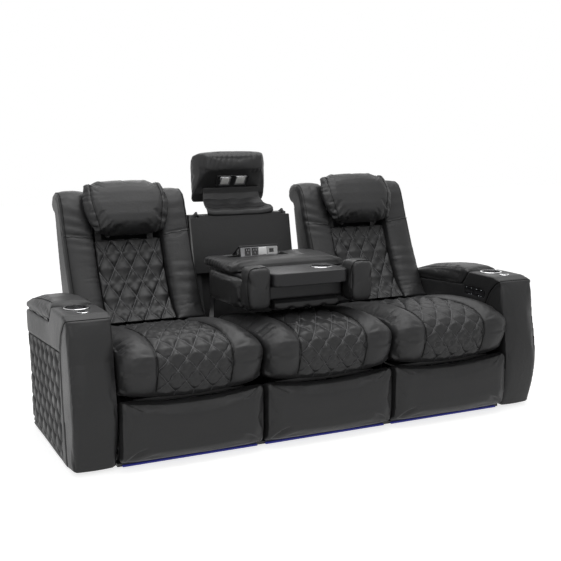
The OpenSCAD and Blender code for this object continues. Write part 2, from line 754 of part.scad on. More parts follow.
module back_frame() {
  block([-ear_in, recline_pivot[0] - tube / 2, tube_top - tube], [ear_in, recline_pivot[0] + tube / 2,
    tube_top]);
  block([-post_out, head_bar[0], head_bar[1]], [post_out, head_bar[0] + post_t, head_bar[1] + tube]);
  both_sides() {
    side_slab(doubled(post_line, [post_t, 0]), post_in, post_out);
    block([post_in, recline_pivot[0], tube_top - tube], [post_out, post_line[0][0] + post_t, tube_top]);
    difference() {
      x_bar(recline_pivot, eye_r, ear_in, ear_out);
      x_bar(recline_pivot, pin_r + pin_fit, ear_in - over, ear_out + over);
    }
    difference() {
      union() {
        x_bar(head_tilt, head_eye_r, head_ear_in, head_ear_in + head_ear_t);
        side_slab([head_tilt - [0, head_eye_r], head_bar + [over, 0], head_bar + [over, tube / 2],
          head_tilt + [head_eye_r / 2, head_eye_r / 2]], head_ear_in, head_ear_in + head_ear_t);
      }
      x_bar(head_tilt, pin_r + pin_fit, head_ear_in - over, head_ear_in + head_ear_t + over);
    }
  }
}

// Outer headrests

head_foot_shares = [0.367, 0.649];
head_corner = placed([head_foot_shares], back_corner, back_box)[0];
head_span = 204;
head_box = [head_span, head_rise];
// Outline at the middle and, where it stays ahead of the wings, at the sides
head_mid_shares = [
  [0.10, 0.01], [0.21, 0.035], [0.42, 0.11], [0.62, 0.37], [0.76, 0.62], [0.93, 0.64], [1, 0.74],
    [0.96, 0.88],
  [0.88, 0.965], [0.76, 1.005], [0.62, 1], [0.48, 0.925], [0.34, 0.79], [0.20, 0.60], [0.08, 0.40],
    [0.01, 0.22],
  [0.03, 0.08]];
head_side_shares = [
  [0.11, 0.02], [0.18, 0.06], [0.21, 0.16], [0.32, 0.37], [0.41, 0.54], [0.48, 0.68], [0.58, 0.79],
    [0.70, 0.86],
  [0.72, 0.91], [0.66, 0.955], [0.56, 0.96], [0.45, 0.895], [0.33, 0.77], [0.20, 0.60], [0.09, 0.40],
    [0.03, 0.22],
  [0.05, 0.09]];
// Share of the half width, share of the way to the side outline, share of the edge draw-in
head_edge_shares = [[-1, 1, 1], [-0.965, 1, 0.4], [-0.86, 1, 0], [-0.752, 1, -0.1], [-0.70, 0, -0.1],
  [-0.35, 0, -0.2], [0, 0, -0.25], [0.35, 0, -0.2], [0.70, 0, -0.1], [0.752, 1, -0.1], [0.86, 1, 0],
  [0.965, 1, 0.4], [1, 1, 1]];
head_draw = 18;
head_neck_share = 0.74;
head_mid_ring = placed(head_mid_shares, head_corner, head_box);
head_side_ring = placed(head_side_shares, head_corner, head_box);

// Half width of the headrest at height z, narrower at its foot
function head_half(z) =
  let (share = min(1, max(0, (z - head_corner[1]) / (head_rise / 2))))
  (head_foot_w + (head_w - head_foot_w) * share) / 2;

head_arm_w = 14;
head_arm_clear = 1;
head_arm_ring = doubled([for (k = [1 : 3]) head_mid_ring[k] + [head_arm_clear, -head_arm_clear]],
  [head_arm_w, -head_arm_w / 2]);
module headrest()
  difference() {
    loft([for (e = head_edge_shares)
      let (ring = head_mid_ring + (head_side_ring - head_mid_ring) * e[1])
      [for (j = [0 : len(ring) - 1])
        let (p = ring[j] + inward(ring, j) * head_draw * e[2])
        [e[0] * (abs(e[0]) > head_neck_share ? head_half(p[1]) : head_foot_w / 2), p[0], p[1]]]]);
    both_sides() {
      side_slab(head_arm_ring, head_arm_in, head_arm_in + head_arm_t);
      x_bar(head_tilt, head_eye_r + seat_fit, head_arm_in, head_ear_in + head_ear_t + layer_gap);
    }
  }

// Steel arms under the headrest, on the pins that it tilts about
module headrest_arms()
  both_sides() {
    x_bar(head_tilt, head_eye_r - wing_clear, head_arm_in, head_arm_in + head_arm_t);
    x_bar(head_tilt, pin_r, head_arm_in, head_ear_in + head_ear_t + over);
    side_slab(head_arm_ring, head_arm_in, head_arm_in + head_arm_t);
  }

// Footrest linkage of an outer seat, folded

// Angle of the line along which the linkage extends, above the level
link_rise = 14.8;
// Angle between that line and a link when the linkage is folded, and when it is out
link_folded = 78;
link_out = 18;
torque_back = 229.4;
torque_drop = 59.1;
torque_at = [seat_front + torque_back, seat_base - torque_drop];
along_out = [-cos(link_rise), sin(link_rise)];
along_down = [-sin(link_rise), -cos(link_rise)];
link_dir = along_out * cos(link_folded) + along_down * sin(link_folded);
cross_dir = along_out * cos(link_folded) - along_down * sin(link_folded);
link_half = link_len / 2;
a_mid = torque_at + link_dir * link_half;
a_end = torque_at + link_dir * link_len;
b_low = torque_at + along_down * link_len * sin(link_folded);
b_end = torque_at + along_out * link_len * cos(link_folded);
c_end = b_end + link_dir * link_len;
c_mid = b_end + link_dir * link_half;
d_end = a_end + cross_dir * link_len;
slot_top = torque_at + along_down * link_len * sin(link_out);
slot_fit = 0.2;
open_fit = 0.3;

// Inner face of a link layer, counted inward from the carriage plate
function layer_in(k) = plate_in - k * (link_t + layer_gap);

// Width of a link between its eyes, as a share of the eyes' width
link_waist_share = 0.92;
// Flat bar with round ends between two pivots, drilled at the places given
module link_bar(from, to, layer, holes, hole_fit) {
  step = (to - from) / norm(to - from) * link_w / 2;
  side = [-step[1], step[0]] * link_waist_share;
  difference() {
    union() {
      side_slab([from + side, from - side, to - side, to + side], layer_in(layer), layer_in(layer)
        + link_t);
      for (at = [from, to])
        x_bar(at, link_w / 2, layer_in(layer), layer_in(layer) + link_t);
    }
    for (at = holes)
      x_bar(at, pin_r + hole_fit, layer_in(layer) - over, layer_in(layer) + link_t + over);
  }
}

// Pin through the layers from one to another
module link_pin(at, inner_layer, outer_x)
  x_bar(at, pin_r, layer_in(inner_layer), outer_x);

module link_a() {
  x_bar(torque_at, torque_r, -plate_out, plate_out);
  both_sides() {
    link_bar(torque_at, a_end, 1, [], 0);
    link_pin(a_mid, 2, layer_in(1) + over);
    link_pin(a_end, 2, layer_in(1) + over);
  }
}

module link_b()
  both_sides() {
    link_bar(b_low, b_end, 2, [a_mid], pin_fit);
    link_pin(b_low, 2, plate_out);
    link_pin(b_end, 2, plate_in - layer_gap);
  }

module link_c()
  both_sides() {
    link_bar(b_end, c_end, 1, [b_end], pin_fit);
    link_pin(c_mid, 2, layer_in(1) + over);
    link_pin(c_end, 2, layer_in(1) + over);
  }

module link_d()
  both_sides() {
    difference() {
      link_bar(a_end, d_end, 2, [a_end], pin_fit);
      x_bar(c_mid, pin_r + open_fit, layer_in(2) - over, layer_in(1));
    }
    link_pin(d_end, 3, layer_in(2) + over);
  }

// Board and brackets behind a footrest
board_t = 9;
board_low = 62;
board_high = 200;
bracket_tab = 40;
module footrest_frame() {
  board_y = footrest_face_y + seat_fit;
  block([-layer_in(3) - link_t, board_y, board_low], [layer_in(3) + link_t, board_y + board_t, board_high]);
  both_sides()
    difference() {
      union() {
        x_bar(d_end, link_w / 2, layer_in(3), layer_in(3) + link_t);
        side_slab([[board_y + board_t, board_high], [board_y + board_t, board_high - bracket_tab],
          d_end + [link_w / 2, -over], d_end + [0, link_w / 2]], layer_in(3), layer_in(3) + link_t);
      }
      x_bar(d_end, pin_r + pin_fit, layer_in(3) - over, layer_in(3) + link_t + over);
    }
}

// Carriage that slides on the rails and carries seat, linkage and back
carriage_rear = 62;
arm_foot = 65;
plate_low = 26;
plate_edge = 20;
plate_nose = 14;
plate_step = 30;
plate_rear = 60;
shoe_h = 20;
shoe_l = 80;
shoe_front = -330;
shoe_rear = 20;
flange_t = 4;
flange_w = 30;
flange_front = -330;
cross_r = 10;
deck_low = deck_top - deck_t;
actuator = [40, 240, 60];
actuator_low = 96;

module carriage_plate() {
  difference() {
    union() {
      side_slab([[b_low[0] - plate_edge, plate_low + plate_step], [b_low[0] - plate_nose, plate_low],
        [b_low[0] + plate_edge, plate_low], [shoe_front, rail_top - shoe_h / 2],
        [carriage_rear - plate_edge, rail_top - shoe_h / 2], [carriage_rear + plate_rear,
          rail_top + shoe_h],
        [recline_pivot[0] + eye_r, recline_pivot[1]], [recline_pivot[0] - eye_r, recline_pivot[1]],
        [arm_foot + plate_edge, deck_low + plate_step], [arm_foot, deck_low],
        [torque_at[0] - eye_r, deck_low], [torque_at[0] - plate_step, torque_at[1]]], plate_in, plate_out);
      x_bar(recline_pivot, eye_r, plate_in, plate_out);
      x_bar(recline_pivot, pin_r, ear_in + seat_fit, plate_out);
    }
    x_bar(torque_at, torque_r + pin_fit, plate_in - over, plate_out + over);
    for (at = [b_low, slot_top])
      x_bar(at, pin_r + slot_fit, plate_in - over, plate_out + over);
    slot_side = [-along_down[1], along_down[0]] * (pin_r + slot_fit);
    side_slab([b_low + slot_side, b_low - slot_side, slot_top - slot_side, slot_top + slot_side],
      plate_in - over, plate_out + over);
  }
}

module carriage() {
  both_sides() {
    carriage_plate();
    block([deck_w / 2 - flange_w, flange_front, deck_low - flange_t], [plate_out, carriage_rear - flange_t,
      deck_low]);
    for (y = [shoe_front, shoe_rear])
      block([plate_in, y, rail_top + seat_fit], [rail_out, y + shoe_l, rail_top + seat_fit + shoe_h]);
  }
  block([-deck_w / 2, seat_front + deck_front_gap, deck_low], [deck_w / 2, crease_y, deck_top]);
  x_bar([shoe_front + shoe_l + cross_r * 2, rail_top + shoe_h * 3], cross_r, -plate_out, plate_out);
  x_bar([shoe_rear + shoe_l / 2, rail_top + shoe_h * 3], cross_r, -plate_out, plate_out);
  block([-actuator[0], shoe_front + shoe_l + cross_r * 2, actuator_low],
    [actuator[0], shoe_front + shoe_l + cross_r * 2 + actuator[1], actuator_low + actuator[2]]);
}

// Middle bay: seat, front panel, uprights and the fixed back behind the console

module centre_seat() color(leather) seat_cushion();
module centre_front() color(leather) front_panel();

console_pivot_back = 54;
console_pivot_up = 24;
console_pivot = [crease_y + console_pivot_back, console_base + console_pivot_up];
hinge_eye_r = 18;
bracket_in = 265;
bracket_t = 6;
upright_in = 230;
upright_w = 30;
panel_lean = 0.2;
panel_foot = [343, 610];
panel_head_z = 888;
panel_board_t = 22;
panel_half = 268;
upright_knee_z = 480;
rear_cover_low = 300;

function panel_y(z) = panel_foot[0] + panel_lean * (z - panel_foot[1]);
function leaning(y_step, low, high, thick) =
  [[panel_y(low) + y_step, low], [panel_y(low) + y_step + thick, low],
   [panel_y(high) + y_step + thick, high], [panel_y(high) + y_step, high]];

mid_tilt = [panel_y(panel_head_z) + panel_board_t / 2, panel_head_z + seat_fit + pin_r];
mid_ear_r = 12;

module console_uprights() color(steel)
  both_sides() {
    difference() {
      union() {
        x_bar(console_pivot, hinge_eye_r, bracket_in, bracket_in + bracket_t);
        side_slab([console_pivot - [hinge_eye_r, 0], [console_pivot[0] + hinge_eye_r, base_top + seat_fit],
          [beam_rear, base_top + seat_fit], [beam_rear, base_top + 2 * beam_h], console_pivot
            + [hinge_eye_r, 0]],
          bracket_in, bracket_in + bracket_t);
      }
      x_bar(console_pivot, pin_r + pin_fit, bracket_in - over, bracket_in + bracket_t + over);
    }
    block([upright_in, beam_rear - beam_w, base_top + seat_fit], [bracket_in + bracket_t, beam_rear,
      base_top + beam_h]);
    back_step = panel_board_t + seat_fit;
    side_slab([[beam_rear - beam_w, base_top + beam_h / 2], [beam_rear, base_top + beam_h / 2],
      [panel_y(upright_knee_z) + back_step + upright_w, upright_knee_z],
      [panel_y(panel_head_z) + back_step + upright_w, panel_head_z],
      [panel_y(panel_head_z) + back_step, panel_head_z], [panel_y(upright_knee_z) + back_step,
        upright_knee_z]],
      upright_in, upright_in + upright_w);
    difference() {
      union() {
        x_bar(mid_tilt, mid_ear_r, upright_in, upright_in + bracket_t);
        side_slab([mid_tilt + [0, mid_ear_r], mid_tilt - [0, mid_ear_r / 4],
          [panel_y(panel_head_z) + back_step, panel_head_z - over],
          [panel_y(panel_head_z) + back_step + upright_w, panel_head_z - over]], upright_in,
            upright_in + bracket_t);
      }
      x_bar(mid_tilt, pin_r + pin_fit, upright_in - over, upright_in + bracket_t + over);
    }
  }

module back_panel() color(leather_dark) {
  side_slab(leaning(0, panel_foot[1], panel_head_z - mid_ear_r, panel_board_t), -panel_half, panel_half);
  side_slab(leaning(0, panel_head_z - mid_ear_r - over, panel_head_z, panel_board_t),
    -upright_in + bracket_t, upright_in - bracket_t);
  side_slab(leaning(panel_board_t + upright_w + 2 * seat_fit, rear_cover_low, panel_head_z, cover_t),
    -panel_half, panel_half);
}

// Console, folded forward over the middle seat

tray_top = console_base + console_h;
tray_front = -374;
tray_half = 188;
tray_lip = 58;
tray_r = 40;
core_front = -300;
core_half = 262;
core_rear = 181;
shoulder_front = -268;
pad_front = -149;
pad_over = 5;
pad_low = tray_top - pad_t / 2;
quilt_pad_t = 45;
quilt_half = 160;
quilt_pad_front = -330;
quilt_pad_rear = 120;
quilt_top = console_base + quilt_pad_t;
slot_x0 = -205;
slot_x1 = 95;
outlet_x0 = -150;
outlet_x1 = 48;
outlet_hinge_r = 3;
outlet_hinge_y = 146;
outlet_hinge_up = 19;
outlet_hinge = [outlet_hinge_y, tray_top + outlet_hinge_up];
outlet_l = 88;
outlet_open = 31.5;
outlet_face_h = 65;
slot_room = 2;
slot_depth = 48;
slot_front = outlet_hinge_y - outlet_l - slot_room;
slot_rear = outlet_hinge[0] + outlet_hinge_r + seat_fit;
slot_floor = tray_top - slot_depth;
tray_cup_x = 109;
tray_cup_y = -250;
side_low_half = quilt_half + seat_fit;

module console_body() color(leather_dark)
  difference() {
    union() {
      rounded_block([-tray_half, tray_front, tray_top - tray_lip], [tray_half, pad_front - seat_fit,
        tray_top], tray_r);
      block([-tray_half, core_front, quilt_top + seat_fit], [tray_half, shoulder_front + over,
        tray_top - tray_lip + over]);
      block([-core_half, shoulder_front, quilt_top + seat_fit], [core_half, core_rear, pad_low - seat_fit]);
      block([-tray_half, pad_front - tray_r, tray_top - tray_lip], [tray_half, pad_front - seat_fit,
        tray_top]);
      both_sides()
        block([side_low_half, shoulder_front, console_base], [core_half, core_rear, quilt_top + over]);
      block([-core_half, quilt_pad_rear + seat_fit, console_base], [core_half, core_rear,
        quilt_top + over]);
    }
    translate([tray_cup_x, tray_cup_y, tray_top - tray_cup_depth - liner_t - seat_fit])
      cylinder(r = tray_cup_r + liner_t + seat_fit, h = console_h);
    block([slot_x0, slot_front, slot_floor], [slot_x1, slot_rear, tray_top]);
  }

// Padded rear: crowned, with a slot for the outlet unit. Share of width, share of crown lost at the edge
pad_edge_shares_x = [[-1, 1], [-0.985, 0.45], [-0.92, 0.1], [-0.5, 0.02], [0, 0], [0.5, 0.02], [0.92, 0.1],
  [0.985, 0.45], [1, 1]];
// Share of the pad's length, share of its thickness, weight of the draw-in
pad_ring_shares = [[0.03, 0, 0.3], [0.97, 0, 0.3], [1, 0.3, 1], [1, 0.7, 1], [0.97, 0.92, 1], [0.85, 1, 1],
  [0.5, 1.02, 1],
  [0.15, 1, 1], [0.03, 0.92, 1], [0, 0.7, 1], [0, 0.3, 1]];
pad_draw_in = 14;
pad_ring = placed([for (s = pad_ring_shares) [s[0], s[1]]], [pad_front, pad_low],
  [core_rear + pad_over - pad_front, pad_t]);
module console_pad() color(leather)
  difference() {
    loft([for (e = pad_edge_shares_x)
      stood(drawn_in(pad_ring, pad_draw_in * e[1], [for (s = pad_ring_shares) s[2]]), pad_w / 2 * e[0])]);
    block([slot_x0, slot_front, pad_low - over], [slot_x1, slot_rear, tray_top + pad_t]);
  }

// Side bolsters and, ahead of them, the curled ends beside the tray
bolster_seam = 2;
bolster_in = core_half + bolster_seam;
bolster_top = pad_low - seat_fit;
bolster_rear = 84;
boot_in = 190;
boot_front = -394;
boot_rear = -271;
boot_low = 545;
boot_top = 740;
soft_round = 26;
// Corner-rounded box outline as [x share, z share] pairs, anticlockwise seen from the front
puff_shares = [[0.14, 0.03], [0.5, 0], [0.86, 0.03], [0.97, 0.12], [1, 0.3], [1, 0.52], [0.985, 0.66],
  [1, 0.8], [0.97, 0.91],
  [0.86, 0.985], [0.5, 1], [0.14, 0.985], [0.03, 0.91], [0, 0.75], [0, 0.5], [0, 0.25], [0.03, 0.12]];
// Share of the length from the front, share of the draw-in
boot_end_shares = [[0, 1], [0.03, 0.5], [0.12, 0.1], [0.4, -0.1], [0.75, 0], [0.94, 0.3], [1, 0.8]];
bolster_end_shares = [[0, 0.8], [0.02, 0.3], [0.2, 0], [0.5, -0.08], [0.8, 0], [0.98, 0.3], [1, 1]];

// Soft box that runs along Y, its outline drawn in toward both ends
module soft_box(x0, x1, z0, z1, y0, y1, ends, draw) {
  n = len(puff_shares);
  loft([for (e = ends)
    let (in = draw * max(0, e[1]),
         ring = placed(puff_shares, [x0 + in, z0 + in], [x1 - x0 - 2 * in, z1 - z0 - 2 * in]))
    [for (j = [n - 1 : -1 : 0]) [ring[j][0], y0 + (y1 - y0) * e[0], ring[j][1]]]]);
}

module console_bolsters() color(leather)
  both_sides() {
    soft_box(bolster_in, bolster_w / 2, console_base, bolster_top, shoulder_front, bolster_rear,
      bolster_end_shares, soft_round / 2);
    soft_box(boot_in, bolster_w / 2, boot_low, boot_top, boot_front, boot_rear, boot_end_shares,
      soft_round);
  }

// Quilted underside, which faces forward when the console is raised
under_rows = 12;
under_rim_share = 0.8;
module console_quilt() color(leather)
  loft([for (c = [0 : quilt_cells])
    let (x = quilt_half * (2 * c / quilt_cells - 1))
    concat(
      [for (r = [0 : under_rows])
        let (rim = c == 0 || c == quilt_cells || r == 0 || r == under_rows,
             z = console_base + quilt_puff * (rim ? under_rim_share : (c + r) % 2 == 0 ? 1 : 0))
        [x, quilt_pad_front + (quilt_pad_rear - quilt_pad_front) * r / under_rows, z]],
      [[x, quilt_pad_rear, quilt_top], [x, core_front - over, quilt_top],
        [x, quilt_pad_front, quilt_top - quilt_puff]])]);

module console_cups() color(steel)
  translate([tray_cup_x, tray_cup_y, tray_top + seat_fit])
    cup_liner(tray_cup_r, tray_cup_depth, liner_t, cup_lip_w, cup_lip_t);

// Flip-up outlet unit, standing open
socket_r = 17;
socket_depth = 6;
socket_start_share = 1.5;
socket_pitch_share = 2.4;
outlet_front = outlet_hinge + outlet_l * [-cos(outlet_open), sin(outlet_open)];
outlet_lean = 9;
outlet_foot = outlet_front - [outlet_lean, outlet_face_h];
module outlet_unit() color(plastic) {
  difference() {
    side_slab([outlet_front, outlet_foot, outlet_hinge - [0, outlet_hinge_r], outlet_hinge], outlet_x0,
      outlet_x1);
    for (k = [0, 1])
      translate([outlet_x0 + socket_r * (socket_start_share + socket_pitch_share * k),
        outlet_foot[0] - over, (outlet_front[1] + tray_top) / 2 + outlet_hinge_r])
        rotate([-90, 0, 0])
          cylinder(r = socket_r, h = socket_depth + outlet_lean);
  }
  x_bar(outlet_hinge, outlet_hinge_r, outlet_x0, outlet_x1);
}

// Middle headrest

mid_head_foot = [406, 888];
mid_head_box = [190, 304];
// Share of the box, weight of the draw-in
mid_head_shares = [
  [0.76, 0.295, 0], [0.83, 0.15, 1], [0.93, 0.22, 1], [0.985, 0.38, 1], [1, 0.566, 1], [0.98, 0.75, 1],
    [0.92, 0.88, 1],
  [0.80, 0.965, 1], [0.62, 1, 1], [0.45, 0.995, 1], [0.32, 0.97, 1], [0.265, 0.94, 1], [0.255, 0.84, 1],
    [0.263, 0.72, 1]];
mid_head_ring = placed([for (s = mid_head_shares) [s[0], s[1]]], mid_head_foot, mid_head_box);
mid_head_widen = 48;
mid_head_deep = 100;
mid_head_draw = 16;
// Share of the half width, share of the edge draw-in
mid_head_edge_shares = [[-1, 1], [-0.97, 0.4], [-0.86, 0.1], [-0.45, 0], [0, 0], [0.45, 0], [0.86, 0.1],
  [0.97, 0.4],
  [1, 1]];

function mid_head_half(y) =
  mid_head_w / 2 + mid_head_widen * min(1, max(0, (y - mid_head_ring[13][0]) / mid_head_deep));

module headrest_centre() color(leather)
  loft([for (e = mid_head_edge_shares)
    [for (j = [0 : len(mid_head_ring) - 1])
      let (p = mid_head_ring[j] + inward(mid_head_ring, j) * mid_head_draw * e[1] * mid_head_shares[j][2])
      [e[0] * mid_head_half(p[0]), p[0], p[1]]]]);

flap_half = 172;
flap_t = 14;
flap_step = [8, 4];
module headrest_centre_shell() color(leather_dark) {
  flap_top = mid_head_ring[1] - flap_step;
  x_bar(mid_tilt, pin_r, -upright_in - bracket_t - over, upright_in + bracket_t + over);
  side_slab([mid_tilt + [0, -pin_r], flap_top + [flap_t, -flap_t], flap_top, mid_tilt + [-pin_r, 0]],
    -flap_half, flap_half);
}

// Nodes of the two outer seats

module at_seat(side)
  translate([seat_x(side), 0, 0])
    children();

module seat_left() color(leather) at_seat(-1) seat_cushion();
module seat_right() color(leather) at_seat(1) seat_cushion();
module carriage_left() color(lacquer) at_seat(-1) carriage();
module carriage_right() color(lacquer) at_seat(1) carriage();
module footrest_left() color(leather) at_seat(-1) front_panel();
module footrest_right() color(leather) at_seat(1) front_panel();
module footrest_frame_left() color(lacquer) at_seat(-1) footrest_frame();
module footrest_frame_right() color(lacquer) at_seat(1) footrest_frame();
module link_a_left() color(steel) at_seat(-1) link_a();
module link_a_right() color(steel) at_seat(1) link_a();
module link_b_left() color(steel) at_seat(-1) link_b();
module link_b_right() color(steel) at_seat(1) link_b();
module link_c_left() color(steel) at_seat(-1) link_c();
module link_c_right() color(steel) at_seat(1) link_c();
module link_d_left() color(steel) at_seat(-1) link_d();
module link_d_right() color(steel) at_seat(1) link_d();
module back_frame_left() color(lacquer) at_seat(-1) back_frame();
module back_frame_right() color(lacquer) at_seat(1) back_frame();
module back_wings_left() color(leather) at_seat(-1) back_wings();
module back_wings_right() color(leather) at_seat(1) back_wings();
module back_quilt_left() color(leather_dark) at_seat(-1) back_quilt();
module back_quilt_right() color(leather_dark) at_seat(1) back_quilt();
module back_cover_left() color(leather_dark) at_seat(-1) back_cover();
module back_cover_right() color(leather_dark) at_seat(1) back_cover();
module headrest_left() color(leather) at_seat(-1) headrest();
module headrest_right() color(leather) at_seat(1) headrest();
module headrest_arms_left() color(steel) at_seat(-1) headrest_arms();
module headrest_arms_right() color(steel) at_seat(1) headrest_arms();

base_frame();
front_beam();
feet();
slide_rails();
arm_left();
arm_right();
arm_fronts();
arm_sides();
storage_bins();
arm_cups();
accessory_docks();
control_panels();
lid_hinges();
led_strip();
centre_seat();
centre_front();
console_uprights();
back_panel();
rocker_recline_left();
rocker_recline_right();
rocker_headrest_left();
rocker_headrest_right();
lid_left();
lid_right();
console_body();
console_pad();
console_bolsters();
console_quilt();
console_cups();
outlet_unit();
headrest_centre();
headrest_centre_shell();
seat_left();
carriage_left();
footrest_left();
footrest_frame_left();
link_a_left();
link_b_left();
link_c_left();
link_d_left();
back_frame_left();
back_wings_left();
back_quilt_left();
back_cover_left();
headrest_left();
headrest_arms_left();
seat_right();
carriage_right();
footrest_right();
footrest_frame_right();
link_a_right();
link_b_right();
link_c_right();
link_d_right();
back_frame_right();
back_wings_right();
back_quilt_right();
back_cover_right();
headrest_right();
headrest_arms_right();
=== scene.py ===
import math

import bmesh
import bpy
import numpy as np
from mathutils import Matrix, Vector, noise
from mathutils.bvhtree import BVHTree


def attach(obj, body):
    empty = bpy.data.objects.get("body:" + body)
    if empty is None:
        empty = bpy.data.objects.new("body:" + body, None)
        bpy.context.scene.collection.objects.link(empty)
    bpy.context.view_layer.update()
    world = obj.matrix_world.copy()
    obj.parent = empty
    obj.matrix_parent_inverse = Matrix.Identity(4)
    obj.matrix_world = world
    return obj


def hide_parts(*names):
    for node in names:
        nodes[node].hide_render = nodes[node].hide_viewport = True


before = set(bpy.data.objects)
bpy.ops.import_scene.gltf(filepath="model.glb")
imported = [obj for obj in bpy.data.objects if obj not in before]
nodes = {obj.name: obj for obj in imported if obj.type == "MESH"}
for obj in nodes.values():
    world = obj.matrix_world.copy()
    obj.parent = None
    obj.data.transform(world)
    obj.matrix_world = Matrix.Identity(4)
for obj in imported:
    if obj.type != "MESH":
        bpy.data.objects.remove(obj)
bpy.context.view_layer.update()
print("frame loaded with", len(nodes), "nodes")

sofa = {
    "pitch": 0.615,  # from one seat's middle to the next
    "seatX": {"left": -0.615, "centre": 0.0, "right": 0.615},
    "mirror": {"left": -1, "right": 1},
    # node and body of each seat, then those of the front below it
    "bays": {
        "left": ("seat_left", "carriage_left", "footrest_left", "footrest_left"),
        "centre": ("centre_seat", "frame", "centre_front", "frame"),
        "right": ("seat_right", "carriage_right", "footrest_right", "footrest_right"),
    },
}


def activate(obj):
    bpy.ops.object.select_all(action="DESELECT")
    obj.select_set(True)
    bpy.context.view_layer.objects.active = obj
    return obj


def applyModifier(obj, kind, **settings):
    activate(obj)
    mod = obj.modifiers.new(kind.title(), kind)
    for key, value in settings.items():
        setattr(mod, key, value)
    bpy.ops.object.modifier_apply(modifier=mod.name)
    return obj


def readPoints(obj):
    points = np.zeros(len(obj.data.vertices) * 3, np.float32)
    obj.data.vertices.foreach_get("co", points)
    return points.reshape(-1, 3).astype(float)


def writePoints(obj, points):
    obj.data.vertices.foreach_set("co", points.astype(np.float32).ravel())
    obj.data.update()


def readNormals(obj):
    normals = np.zeros(len(obj.data.vertices) * 3, np.float32)
    obj.data.vertices.foreach_get("normal", normals)
    return normals.reshape(-1, 3).astype(float)


def surface(obj):
    return readPoints(obj), readNormals(obj)


# Moves each point along its normal and gives the new places.
def raised(obj, points, normals, relief):
    points = points + normals * relief[:, None]
    writePoints(obj, points)
    return points


def addObject(name, data):
    obj = bpy.data.objects.new(name, data)
    bpy.context.scene.collection.objects.link(obj)
    return obj


def copyNode(name, node):
    shape = bmesh.new()
    shape.from_mesh(nodes[node].data)
    bmesh.ops.remove_doubles(shape, verts=shape.verts, dist=1e-5)
    mesh = bpy.data.meshes.new(name)
    shape.to_mesh(mesh)
    shape.free()
    return addObject(name, mesh)


def remesh(obj, voxel, rounds=2):
    applyModifier(obj, "REMESH", mode="VOXEL", voxel_size=voxel, use_smooth_shade=True)
    return applyModifier(obj, "SMOOTH", factor=0.5, iterations=rounds)


# A copy of a left-hand node, moved to the middle of the sofa.
def centredBase(name, node, voxel, rounds=2):
    obj = remesh(copyNode(name, node), voxel, rounds)
    points = readPoints(obj)
    points[:, 0] += sofa["pitch"]
    writePoints(obj, points)
    return obj


stuffing = {"frames": 20, "quality": 4, "mass": 0.3, "stiffness": 15, "bending": 0.5}


# Puffs up what isn't pinned in a short cloth simulation, by no more than the cap.
def inflate(obj, pressure, pinned, cap):
    rest = readPoints(obj)
    group = obj.vertex_groups.new(name="sewn")
    group.add([int(k) for k in np.nonzero(pinned)[0]], 1.0, "REPLACE")
    mod = obj.modifiers.new("Cloth", "CLOTH")
    cloth = mod.settings
    cloth.quality, cloth.mass = stuffing["quality"], stuffing["mass"]
    cloth.tension_stiffness = cloth.compression_stiffness = stuffing["stiffness"]
    cloth.bending_stiffness = stuffing["bending"]
    cloth.use_pressure = True
    cloth.uniform_pressure_force = pressure
    cloth.effector_weights.gravity = 0
    cloth.vertex_group_mass = "sewn"
    mod.collision_settings.use_collision = False
    mod.point_cache.frame_end = stuffing["frames"]
    for step in range(1, stuffing["frames"] + 1):
        bpy.context.scene.frame_set(step)
    activate(obj)
    bpy.ops.object.modifier_apply(modifier=mod.name)
    bpy.context.scene.frame_set(1)
    moved = readPoints(obj) - rest
    length = np.linalg.norm(moved, axis=1) + 1e-9
    writePoints(obj, rest + moved * np.minimum(1, cap / length)[:, None])
    obj.vertex_groups.clear()
    return obj


# Each point's place along a polyline, counted in its corners, and its distance to it.
def alongLine(points, line):
    line = np.asarray(line, float)
    best = np.full(len(points), 1e9)
    place = np.zeros(len(points))
    for k in range(len(line) - 1):
        step = line[k + 1] - line[k]
        t = np.clip(((points - line[k]) @ step) / (step @ step), 0, 1)
        away = np.linalg.norm(points - line[k] - t[:, None] * step, axis=1)
        closer = away < best
        best[closer], place[closer] = away[closer], k + t[closer]
    return place, best


def offWhole(value):
    return np.abs(value - np.round(value))


# Nought on the sewn lines, one at the middle of a diamond.
def quiltRelief(u, v, share=0.15):
    near = np.minimum(offWhole(u + v), offWhole(u - v))
    return 1 - np.exp(-((near / share) ** 2))


def noiseAt(points, scale, seed):
    shift = Vector((seed * 3.7, seed * 1.3, seed * 2.1))
    return np.array([noise.noise(Vector(p) * scale + shift) for p in points])


def smoothStep(low, high, value):
    t = np.clip((value - low) / (high - low), 0, 1)
    return t * t * (3 - 2 * t)


# Short creases that run in from a seam: edge is the way from the seam, along the way down it.
def puckers(edge, along, seed, reach=0.022, pitch=0.02):
    wobble = np.array([noise.noise(Vector((a * 9, seed, 0))) for a in along])
    gate = np.array([noise.noise(Vector((a * 16, seed + 9, 0))) for a in along])
    wave = np.sin(2 * math.pi * along / pitch + 4 * wobble + 12 * edge)
    return np.exp(-np.maximum(edge, 0) / reach) * np.maximum(0, wave) * np.clip(0.35 + 1.5 * gate, 0, 1)


def setFloat(obj, name, values):
    layer = obj.data.attributes.get(name) or obj.data.attributes.new(name, "FLOAT", "POINT")
    layer.data.foreach_set("value", values.astype(np.float32))


def setUv(obj, u, v):
    layer = obj.data.uv_layers.new(name="quilt")
    index = np.zeros(len(obj.data.loops), np.int32)
    obj.data.loops.foreach_get("vertex_index", index)
    layer.data.foreach_set("uv", np.stack([u[index], v[index]], 1).astype(np.float32).ravel())


def useMaterials(obj, *materials, faces=None):
    obj.data.materials.clear()
    for m in materials:
        obj.data.materials.append(m)
    if faces is not None:
        obj.data.polygons.foreach_set("material_index", faces.astype(np.int32))
    obj.data.polygons.foreach_set("use_smooth", np.ones(len(obj.data.polygons), bool))
    obj.data.update()


